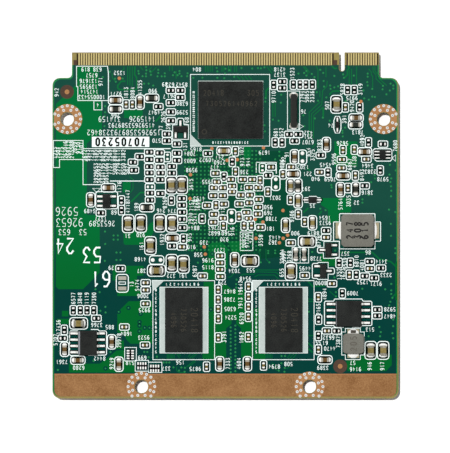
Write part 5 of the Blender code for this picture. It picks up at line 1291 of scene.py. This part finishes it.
for name, across, along in (
    ("flash_memory", 0.0130, 0.0115), ("memory_left_upper", 0.0075, 0.0130), ("memory_right_upper", 0.0075, 0.0130),
    ("memory_left_lower", 0.0075, 0.0130), ("memory_right_lower", 0.0075, 0.0130),
):
    low, high, middle = extents(name)
    upper = middle.z > SEEN_FACE
    split = low.z + CARRIER_THICKNESS if upper else high.z - CARRIER_THICKNESS
    start, end = (split, high.z - JUST_INSIDE) if upper else (low.z, split)
    size = (across, along, end - start)
    at = (middle.x, middle.y, (start + end) / 2)
    add_block(f"{name}_mould", at, size, 0.00009, mould_finish, [name], 3)
    start, end = (low.z, split) if upper else (split, high.z)
    size = (across - 0.00002, along - 0.00002, end - start)
    at = (middle.x, middle.y, (start + end) / 2)
    add_block(f"{name}_carrier", at, size, 0.00002, carrier_finish, [name])
    level = (SEEN_FACE + low.z) / 2 if upper else (HIDDEN_FACE + high.z) / 2
    columns = int(across / BALL_PITCH)
    rows = int(along / BALL_PITCH)
    for column in range(columns):
        for row in range(rows):
            if 1 < column < columns - 2 and 1 < row < rows - 2:
                continue
            x = middle.x + (column - (columns - 1) / 2) * BALL_PITCH
            y = middle.y + (row - (rows - 1) / 2) * BALL_PITCH
            lay(balls, ball, Matrix.Translation((x, y, level)))
    if name == "flash_memory":
        runs = figures("20418", spot(213.5, 93.0), 0.00105, 0.00088, 0.0)
        runs += figures("305", spot(253.0, 93.0), 0.00105, 0.00088, 0.0)
        runs += figures("730526140962", spot(231.5, 103.7), 0.00095, 0.00089, 0.0)
        runs.append(box_line(spot(204.3, 131.9), 0.0, 0.0009, 0.0009, 0.00044, 4))
        marks.append((f"{name}_marks", runs, high.z))
    elif upper:
        place = Matrix.Translation((middle.x, middle.y, 0.0)) @ Matrix.Rotation(-math.pi / 2, 4, "Z")
        for digits, rise, size in (("20418", 0.0022, 0.0013), ("730526", 0.0, 0.0010), ("4096", -0.0020, 0.0010)):
            spot_at = place @ Vector((0.0, rise, 0.0))
            runs = figures(digits, (spot_at.x, spot_at.y), size, size * 0.82, -math.pi / 2)
            marks.append((f"{name}_marks_{digits}", runs, high.z))
add_piece("package_balls", balls, ball_finish)
for name, runs, level in marks:
    add_lines(name, runs, 0.00013, 0.000008, level - JUST_INSIDE, mark_finish)

# Clock crystal: a slim moulded body with rounded ends, standing on four tinned feet at its corners.
crystal_finish = make_finish("crystal_mould", (50, 51, 48), (38, 39, 37), 3600.0, 0.6, 0.42, 0.14, relief=0.25)
low, high, middle = extents("watch_crystal")
body = bmesh.new()
made = bmesh.ops.create_cube(body, size=1.0)["verts"]
bmesh.ops.scale(body, vec=(0.0013, 0.0068, 0.00124), verts=made)
uprights = [
    edge for edge in body.edges if abs(edge.verts[0].co.z - edge.verts[1].co.z) > 0.001
]
ease(body, uprights, 0.00055, 5)
ease(body, [edge for edge in body.edges if min(vert.co.z for vert in edge.verts) > 0.0006], 0.00028, 4)
bmesh.ops.translate(body, vec=(middle.x, middle.y, high.z - 0.00062), verts=body.verts)
add_piece("watch_crystal_body", body, crystal_finish, ["watch_crystal"])
feet = bmesh.new()
for side_x in (-1, 1):
    for side_y in (-1, 1):
        x, y = middle.x + side_x * 0.00050, middle.y + side_y * 0.00298
        block(feet, (x, y, SEEN_FACE + 0.00022), (0.00050, 0.0010, 0.00022), 0.00004)
add_piece("watch_crystal_feet", feet, end_finish, ["watch_crystal"])
heaps = bmesh.new()
for side_y in (-1, 1):
    place = Matrix.Translation((middle.x, middle.y + side_y * 0.00315, SEEN_FACE))
    lay(heaps, solder_shape(0.0017, 0.0012, 0.00018), place)
add_piece("watch_crystal_solder", heaps, solder_finish)

# Power inductors: a coil pressed into grey iron powder, square with cut corners. A flat terminal comes out at
# each end and folds up its side. Two sizes stand on the seen face and three small ones hang on the other.
ferrite_finish = make_finish(
    "grey_ferrite", (133, 132, 123), (104, 102, 94), 4600.0, 0.75, 0.6, 0.12, relief=0.5, gloss=0.35
)
terminal_finish = make_finish(
    "coil_terminals", (232, 230, 222), (196, 192, 182), 4200.0, 0.5, 0.28, 0.18, metallic=0.35, relief=0.2
)


def coil_body(width, length, bottom, top, corner, edge):
    """A pressed block with cut upright corners and eased rims."""
    bm = bmesh.new()
    made = bmesh.ops.create_cube(bm, size=1.0)["verts"]
    bmesh.ops.scale(bm, vec=(width, length, top - bottom), verts=made)
    uprights = [
        item for item in bm.edges if abs(item.verts[0].co.z - item.verts[1].co.z) > (top - bottom) / 2
    ]
    ease(bm, uprights, corner)
    rims = [item for item in bm.edges if abs(item.verts[0].co.z - item.verts[1].co.z) < 0.00001]
    ease(bm, rims, edge, 3)
    bmesh.ops.translate(bm, vec=(0.0, 0.0, (top + bottom) / 2), verts=bm.verts)
    return shape_of(bm)


def terminal_strip(reach, width, foot, rise, thickness):
    """A terminal folded from under a coil's end and up its side."""
    bm = bmesh.new()
    start = [bm.verts.new((reach - foot, side * width / 2, 0.0)) for side in (-1, 1)]
    edge = bm.edges.new(start)
    for step in (Vector((foot - 0.0001, 0.0, 0.0)), Vector((0.0001, 0.0, 0.0001)), Vector((0.0, 0.0, rise))):
        made = bmesh.ops.extrude_edge_only(bm, edges=[edge])["geom"]
        edge = next(item for item in made if isinstance(item, bmesh.types.BMEdge) and all(
            vert in made for vert in item.verts))
        bmesh.ops.translate(bm, vec=step, verts=edge.verts)
    bmesh.ops.recalc_face_normals(bm, faces=bm.faces)
    bmesh.ops.solidify(bm, geom=list(bm.faces), thickness=thickness)
    return shape_of(bm)


coil_solder = bmesh.new()
coil_lands = bmesh.new()
for name, width, length, corner, terminal, rise, turn in (
    ("power_coil_large", 0.0066, 0.0066, 0.0005, 0.0031, 0.00095, 0.0),
    ("power_coil_small", 0.0040, 0.0042, 0.0004, 0.0023, 0.00095, math.pi / 2),
    ("buck_coil_1", 0.0040, 0.0040, 0.0004, 0.0018, 0.0007, 0.0),
    ("buck_coil_2", 0.0040, 0.0040, 0.0004, 0.0018, 0.0007, 0.0),
    ("buck_coil_3", 0.0040, 0.0040, 0.0004, 0.0018, 0.0007, 0.0),
):
    low, high, middle = extents(name)
    height = high.z - SEEN_FACE - JUST_INSIDE if middle.z > SEEN_FACE else HIDDEN_FACE - low.z
    place = on_board(name, turn)
    body = bmesh.new()
    lay(body, coil_body(width, length, 0.00025, height, corner, 0.00015), place)
    add_piece(f"{name}_body", body, ferrite_finish, [name])
    strips = bmesh.new()
    strip = terminal_strip(width / 2 + 0.00009, terminal, 0.0012, rise, 0.00012)
    small = name == "power_coil_small"
    heap = solder_shape(0.00185 if small else 0.0013, terminal + (0.0 if small else 0.0005), 0.00034)
    spread = 0.0009 if small else 0.0011
    land = bmesh.new()
    block(land, (width / 2 + spread / 2, 0.0, 0.00005), (spread, terminal + 0.0001, 0.00012), 0.00003)
    land = shape_of(land)
    for side in (0.0, math.pi):
        turned = place @ Matrix.Rotation(side, 4, "Z")
        lay(strips, strip, turned @ Matrix.Translation((0.0, 0.0, 0.00022)))
        lay(coil_solder, heap, turned @ Matrix.Translation((width / 2 + 0.00005, 0.0, 0.0)))
        lay(coil_lands, land, turned)
    add_piece(f"{name}_terminals", strips, terminal_finish, [name])
add_piece("coil_solder", coil_solder, solder_finish)
land_finish = make_finish(
    "tinned_lands", (206, 196, 164), (180, 168, 134), 3600.0, 0.6, 0.36, 0.16, metallic=0.2, relief=0.2
)
add_piece("coil_lands", coil_lands, land_finish)
low, high, middle = extents("power_coil_large")
coil_marks = []
for digits, shift in (("247", -0.00158), ("308", 0.0), ("615", 0.00146)):
    coil_marks += figures(digits, (middle.x + shift, middle.y), 0.00125, 0.00132, math.pi / 2)
coil_ink = make_finish("coil_ink", (38, 36, 36), (58, 56, 52), 4600.0, 0.5, 0.6, relief=0.2)
add_lines("power_coil_large_marks", coil_marks, 0.00032, 0.000008, high.z - JUST_INSIDE, coil_ink)
low, high, middle = extents("power_coil_small")
coil_marks = figures("205", middle.xy, 0.0012, 0.00115, math.pi / 2)
foot_finish = make_finish("coil_foot", (96, 92, 84), (66, 62, 56), 4600.0, 0.7, 0.6, relief=0.3)
at = (middle.x, high.y + 0.00036, SEEN_FACE + 0.00021)
add_block("power_coil_small_foot", at, (0.0011, 0.0006, 0.0004), 0.00005, foot_finish)
faint_ink = make_finish("faint_coil_ink", (96, 92, 84), (110, 106, 98), 4600.0, 0.5, 0.6, relief=0.2)
add_lines("power_coil_small_marks", coil_marks, 0.0002, 0.000008, high.z - JUST_INSIDE, faint_ink)

# Gull-wing packages: moulded bodies with drafted sides. Tinned leads leave them at the parting line, bend down
# and end in flat feet soldered to their lands: memories with eight leads, transistors, a
# regulator, a switch and diodes.
LEAD_THICKNESS = 0.00015
lead_finish = make_finish(
    "tinned_leads", (262, 262, 256), (236, 233, 224), 4200.0, 0.55, 0.3, 0.18, metallic=0.1, relief=0.18
)


def drafted_body(width, length, bottom, parting, top, draft):
    """A moulding that is widest at its parting line."""
    bm = bmesh.new()
    start = [bm.verts.new((x, y, parting)) for x, y in (
        (-width / 2, -length / 2), (width / 2, -length / 2), (width / 2, length / 2), (-width / 2, length / 2)
    )]
    face = bm.faces.new(start)
    for level in (top, bottom):
        raised = bmesh.ops.extrude_face_region(bm, geom=[face], use_keep_orig=True)["geom"]
        lifted = [item for item in raised if isinstance(item, bmesh.types.BMVert)]
        bmesh.ops.translate(bm, vec=(0.0, 0.0, level - parting), verts=lifted)
        bmesh.ops.scale(
            bm, vec=((width - 2 * draft) / width, (length - 2 * draft) / length, 1.0), verts=lifted
        )
    bmesh.ops.delete(bm, geom=[face], context="FACES_ONLY")
    bmesh.ops.recalc_face_normals(bm, faces=bm.faces)
    rims = [item for item in bm.edges if abs(item.verts[0].co.z - item.verts[1].co.z) < 0.00001
            and abs(item.verts[0].co.z - top) < 0.00001]
    ease(bm, rims, 0.00005, 2)
    return bm


def notched_body(width, length, bottom, parting, top, draft, notch):
    """A moulding with drafted sides and one long top edge cut back, the mark of its first lead's side."""
    bm = bmesh.new()
    section = (
        (-width / 2 + draft, bottom), (width / 2 - draft, bottom), (width / 2, parting), (width / 2 - draft, top),
        (-width / 2 + notch, top), (-width / 2 + draft * 0.6, top - notch), (-width / 2, parting),
    )
    face = bm.faces.new([bm.verts.new((x, -length / 2, z)) for x, z in section])
    raised = bmesh.ops.extrude_face_region(bm, geom=[face])["geom"]
    lifted = [item for item in raised if isinstance(item, bmesh.types.BMVert)]
    bmesh.ops.translate(bm, vec=(0.0, length, 0.0), verts=lifted)
    bmesh.ops.recalc_face_normals(bm, faces=bm.faces)
    ease(bm, list(bm.edges), 0.00004)
    return bm


def formed_lead(start, shoulder, toe, tip, level, foot, width):
    """A strip lead: straight out, down and into its foot."""
    bm = bmesh.new()
    ends = [bm.verts.new((start, side * width / 2, level)) for side in (-1, 1)]
    edge = bm.edges.new(ends)
    bend = 0.00008
    slope = (level - foot) / (toe - shoulder)
    points = (
        (shoulder - bend, level), (shoulder + bend * 0.4, level - bend * slope * 0.5),
        (toe - bend * 0.6, foot + bend * 0.6), (toe + bend, foot), (tip, foot),
    )
    here = (start, level)
    for x, z in points:
        made = bmesh.ops.extrude_edge_only(bm, edges=[edge])["geom"]
        edge = next(item for item in made if isinstance(item, bmesh.types.BMEdge) and all(
            vert in made for vert in item.verts))
        bmesh.ops.translate(bm, vec=(x - here[0], 0.0, z - here[1]), verts=edge.verts)
        here = (x, z)
    bmesh.ops.recalc_face_normals(bm, faces=bm.faces)
    bmesh.ops.solidify(bm, geom=list(bm.faces), thickness=LEAD_THICKNESS)
    return shape_of(bm)


slope_highlight_finish = make_finish("chamfer_highlight", (156, 159, 165), (134, 137, 142), 3600.0, 0.5, 0.34, 0.12, relief=0.1)
foot_solder = bmesh.new()
lead_openings = bmesh.new()
FOUR_LEADS = (-1.5, -0.5, 0.5, 1.5)
THREE_LEADS = (-1.0, 0.0, 1.0)
TWO_LEADS = (-1.0, 1.0)
ONE_LEAD = (0.0,)
DRAFT = 0.00014
for name, width, length, reach, lead_width, left_leads, right_leads, turn, pitch in (
    ("boot_chip_left", 0.0039, 0.0049, 0.00114, 0.00043, FOUR_LEADS, FOUR_LEADS, 0.0, 0.00127),
    ("boot_chip_right", 0.0053, 0.0052, 0.00138, 0.00043, FOUR_LEADS, FOUR_LEADS, 0.0, 0.00127),
    ("transistor_upper", 0.0013, 0.0029, 0.00055, 0.0004, ONE_LEAD, TWO_LEADS, -math.pi / 2, 0.00095),
    ("transistor_middle", 0.0013, 0.0029, 0.00055, 0.0004, ONE_LEAD, TWO_LEADS, 0.0, 0.00095),
    ("transistor_lower", 0.0013, 0.0029, 0.00055, 0.0004, ONE_LEAD, TWO_LEADS, math.pi, 0.00095),
    ("regulator_five_lead", 0.0016, 0.0029, 0.00055, 0.0004, THREE_LEADS, TWO_LEADS, 0.0, 0.00095),
    ("switch_six_lead", 0.00125, 0.0020, 0.00042, 0.00024, THREE_LEADS, THREE_LEADS, 0.0, 0.00065),
    ("diode_flat", 0.0017, 0.00125, 0.0004, 0.0003, ONE_LEAD, ONE_LEAD, 0.0, 0.001),
    ("diode_small", 0.0012, 0.0008, 0.0002, 0.0003, ONE_LEAD, ONE_LEAD, math.pi / 2, 0.001),
):
    low, high, middle = extents(name)
    place = on_board(name, turn)
    top = high.z - SEEN_FACE
    bottom = 0.00022
    parting = (0.00042 + top) / 2
    if name.startswith("boot_chip"):
        notch = 0.0005 if name == "boot_chip_left" else 0.00034
        mould = notched_body(width, length, bottom, parting, top, DRAFT, notch)
        # A thin light strip laid on the cut-back top edge is a painted highlight of the light that edge catches.
        run = notch - DRAFT * 0.6
        strip = bmesh.new()
        block(strip, (0.0, 0.0, 0.0), (0.00052 if notch > 0.0004 else 0.00013, length - 0.0003, 0.00002), 0.000004)
        slope = bmesh.new()
        at = place @ Matrix.Translation((notch - run / 2 - width / 2 - 0.000006, 0.0, top - notch / 2 + 0.000006))
        lay(slope, shape_of(strip), at @ Matrix.Rotation(-math.atan2(notch, run), 4, "Y"))
        add_piece(f"{name}_slope", slope, slope_highlight_finish)
    else:
        mould = drafted_body(width, length, bottom, parting, top, 0.00012)
    body = bmesh.new()
    lay(body, shape_of(mould), place)
    add_piece(f"{name}_body", body, mould_finish, [name])
    tip = width / 2 + reach
    lead = formed_lead(
        width / 2 - 0.0001, width / 2 + reach * 0.22, tip - reach * 0.5, tip, parting, 0.00011, lead_width
    )
    land_length = reach * 0.75 + 0.0006
    heap = bmesh.new()
    block(heap, (0.0, 0.0, 0.0001), (land_length, lead_width * 1.04, 0.0002), 0.00006)
    heap = shape_of(heap)
    # The opening round each lead's land is coloured near black as painted shade round the foot.
    opening = opening_shape(land_length + 0.0004, lead_width + 0.00040, 0.00012)
    leads = bmesh.new()
    for side, places in ((math.pi, left_leads), (0.0, right_leads)):
        for step in places:
            y = step * pitch * (-1.0 if side else 1.0)
            local = place @ Matrix.Rotation(side, 4, "Z") @ Matrix.Translation((0.0, y, 0.0))
            lay(leads, lead, local)
            at = local @ Matrix.Translation((width / 2 + 0.0001 + land_length / 2, 0.0, 0.0))
            lay(foot_solder, heap, at)
            lay(lead_openings, opening, at)
    add_piece(f"{name}_leads", leads, lead_finish, [name])
add_piece("lead_solder", foot_solder, solder_finish)
add_piece("lead_openings", lead_openings, shade_and_dark_print_finish)

# Processor: the largest package, on the hidden face. A stamped and plated lid with a raised middle is bonded to
# its green carrier, which stands on solder balls; the outer rows are made. The module lies on this lid.
lid_finish = make_finish("plated_lid", (196, 194, 188), (172, 170, 163), 1900.0, 0.5, 0.36, 0.12, metallic=0.8)
bond_finish = make_finish("lid_bond", (58, 56, 54), (44, 42, 40), 3600.0, 0.5, 0.7, relief=0.3)
low, high, middle = extents("processor_base")
add_block(
    "processor_carrier", middle, (0.021, 0.021, high.z - low.z), 0.00004, carrier_finish,
    ["processor_base"]
)
PROCESSOR_BALLS = 25
balls = bmesh.new()
for column in range(PROCESSOR_BALLS):
    for row in range(PROCESSOR_BALLS):
        if 2 < column < PROCESSOR_BALLS - 3 and 2 < row < PROCESSOR_BALLS - 3:
            continue
        x = middle.x + (column - PROCESSOR_BALLS // 2) * BALL_PITCH
        y = middle.y + (row - PROCESSOR_BALLS // 2) * BALL_PITCH
        lay(balls, ball, Matrix.Translation((x, y, (HIDDEN_FACE + high.z) / 2)))
add_piece("processor_balls", balls, ball_finish)
low, high, middle = extents("processor_lid")
half = 0.0101
lid = bmesh.new()
plate(lid, rectangle(-half, -half, half, half, 0.0008), high.z, high.z - 0.00034)
brim = min(lid.faces, key=lambda face: face.calc_center_median().z)
for inset, drop in ((0.0013, 0.0), (0.00012, 0.00006), (0.00022, 0.0004), (0.00010, 0.0001)):
    brim = step_face(lid, brim, -drop, (half - inset) / half)
    half -= inset
bmesh.ops.translate(lid, vec=(middle.x, middle.y, 0.0), verts=lid.verts)
add_piece("processor_lid_shell", lid, lid_finish, ["processor_lid"])
add_block(
    "processor_lid_bond", (middle.x, middle.y, 0.00105), (0.0196, 0.0196, 0.0003), 0.00004, bond_finish,
)

# Leadless chips of the hidden face: flat mouldings whose contacts are small lands along their lower edges, and
# two clock crystals, ceramic tubs closed by a welded metal lid.
tub_finish = make_finish("crystal_tub", (86, 76, 62), (70, 61, 48), 3600.0, 0.5, 0.55, relief=0.2)
lands = bmesh.new()
for name, size, count, pitch in (("power_manager", 0.0080, 14, 0.0005), ("network_chip", 0.0070, 12, 0.0005)):
    low, high, middle = extents(name)
    height = high.z - low.z
    add_block(f"{name}_mould", middle, (size, size, height), 0.00008, mould_finish, [name], 2)
    place = on_board(name, 0.0)
    contact = solder_shape(0.0007, 0.00027, 0.0004)
    for side in range(4):
        turned = place @ Matrix.Rotation(side * math.pi / 2, 4, "Z")
        for step in range(count):
            y = (step - (count - 1) / 2) * pitch
            lay(lands, contact, turned @ Matrix.Translation((size / 2, y, 0.0)))
for number in (1, 2):
    name = f"clock_crystal_{number}"
    low, high, middle = extents(name)
    at = (middle.x, middle.y, high.z - 0.0002)
    add_block(f"{name}_tub", at, (0.0032, 0.0025, 0.0004), 0.00003, tub_finish, [name])
    at = (middle.x, middle.y, low.z + 0.00016)
    add_block(f"{name}_lid", at, (0.0028, 0.0021, 0.00032), 0.00006, lid_finish, [name])
    for side_x in (-1, 1):
        for side_y in (-1, 1):
            place = Matrix.Translation((middle.x + side_x * 0.0012, middle.y + side_y * 0.0009, HIDDEN_FACE))
            lay(lands, solder_shape(0.0012, 0.0010, 0.0003), place @ Matrix.Rotation(math.pi, 4, "X"))
add_piece("hidden_lands", lands, solder_finish)

# Floor, light and camera: a plain pale floor that the processor's lid rests on, soft studio light from above
# and the photograph's view, straight down on the seen face.
LAMP_STRENGTH = 3.2
LAMP_WIDTH = 1.2
LAMP_TILT = 7.6
CAMERA_PLACE = (-0.0001, -0.00022, SEEN_FACE + 1.0112)
floor_mesh = bpy.data.meshes.new("floor")
bm = bmesh.new()
bmesh.ops.create_grid(bm, x_segments=1, y_segments=1, size=1.5)
bm.to_mesh(floor_mesh)
bm.free()
floor_finish = make_finish("pale_floor", (255, 255, 255), (250, 250, 250), 60.0, 0.3, 0.7, relief=0.0, gloss=0.0)
grain = floor_finish.node_tree.nodes["grain"]
grain.inputs["Colour"].default_value = (0.92, 0.92, 0.92, 1.0)
grain.inputs["Fleck"].default_value = (0.9, 0.9, 0.9, 1.0)
floor_mesh.materials.append(floor_finish)
floor = bpy.data.objects.new("floor", floor_mesh)
bpy.context.scene.collection.objects.link(floor)
world = bpy.data.worlds.new("studio")
world.use_nodes = True
place = add_node(world.node_tree, "TexCoord")
axes = add_node(world.node_tree, "SeparateXYZ")
overhead = add_node(
    world.node_tree, "MapRange", [("From Min", 0.75), ("From Max", 1.0), ("To Min", 0.42), ("To Max", 0.06)]
)
sideways = add_node(world.node_tree, "Math", [(1, -0.45)], operation="MULTIPLY_ADD")
lengthways = add_node(world.node_tree, "Math", [(1, 0.4), (2, 1.0)], operation="MULTIPLY_ADD")
strength = add_node(world.node_tree, "Math", operation="MULTIPLY")
background = world.node_tree.nodes["Background"]
background.inputs["Color"].default_value = (1.0, 1.0, 1.0, 1.0)
join(
    world.node_tree, (place, "Generated", axes, "Vector"), (axes, "Z", overhead, "Value"),
    (axes, "X", sideways, 0), (axes, "Y", lengthways, 0), (lengthways, 0, sideways, 2),
    (overhead, 0, strength, 0), (sideways, 0, strength, 1), (strength, 0, background, "Strength"),
)
bpy.context.scene.world = world
lamp = bpy.data.lights.new("studio_lamp", "SUN")
lamp.energy = LAMP_STRENGTH
lamp.angle = math.radians(LAMP_WIDTH)
lamp_object = bpy.data.objects.new("studio_lamp", lamp)
lamp_object.rotation_euler = (math.radians(-LAMP_TILT), math.radians(-LAMP_TILT), 0.0)
lamp_object.visible_glossy = False
bpy.context.scene.collection.objects.link(lamp_object)
camera = bpy.data.cameras.new("camera")
camera.lens = 400.0
camera.sensor_width = 36.0
camera.sensor_fit = "HORIZONTAL"
camera_object = bpy.data.objects.new("camera", camera)
camera_object.location = CAMERA_PLACE
bpy.context.scene.collection.objects.link(camera_object)
bpy.context.scene.camera = camera_object
bpy.context.scene.view_settings.view_transform = "Standard"
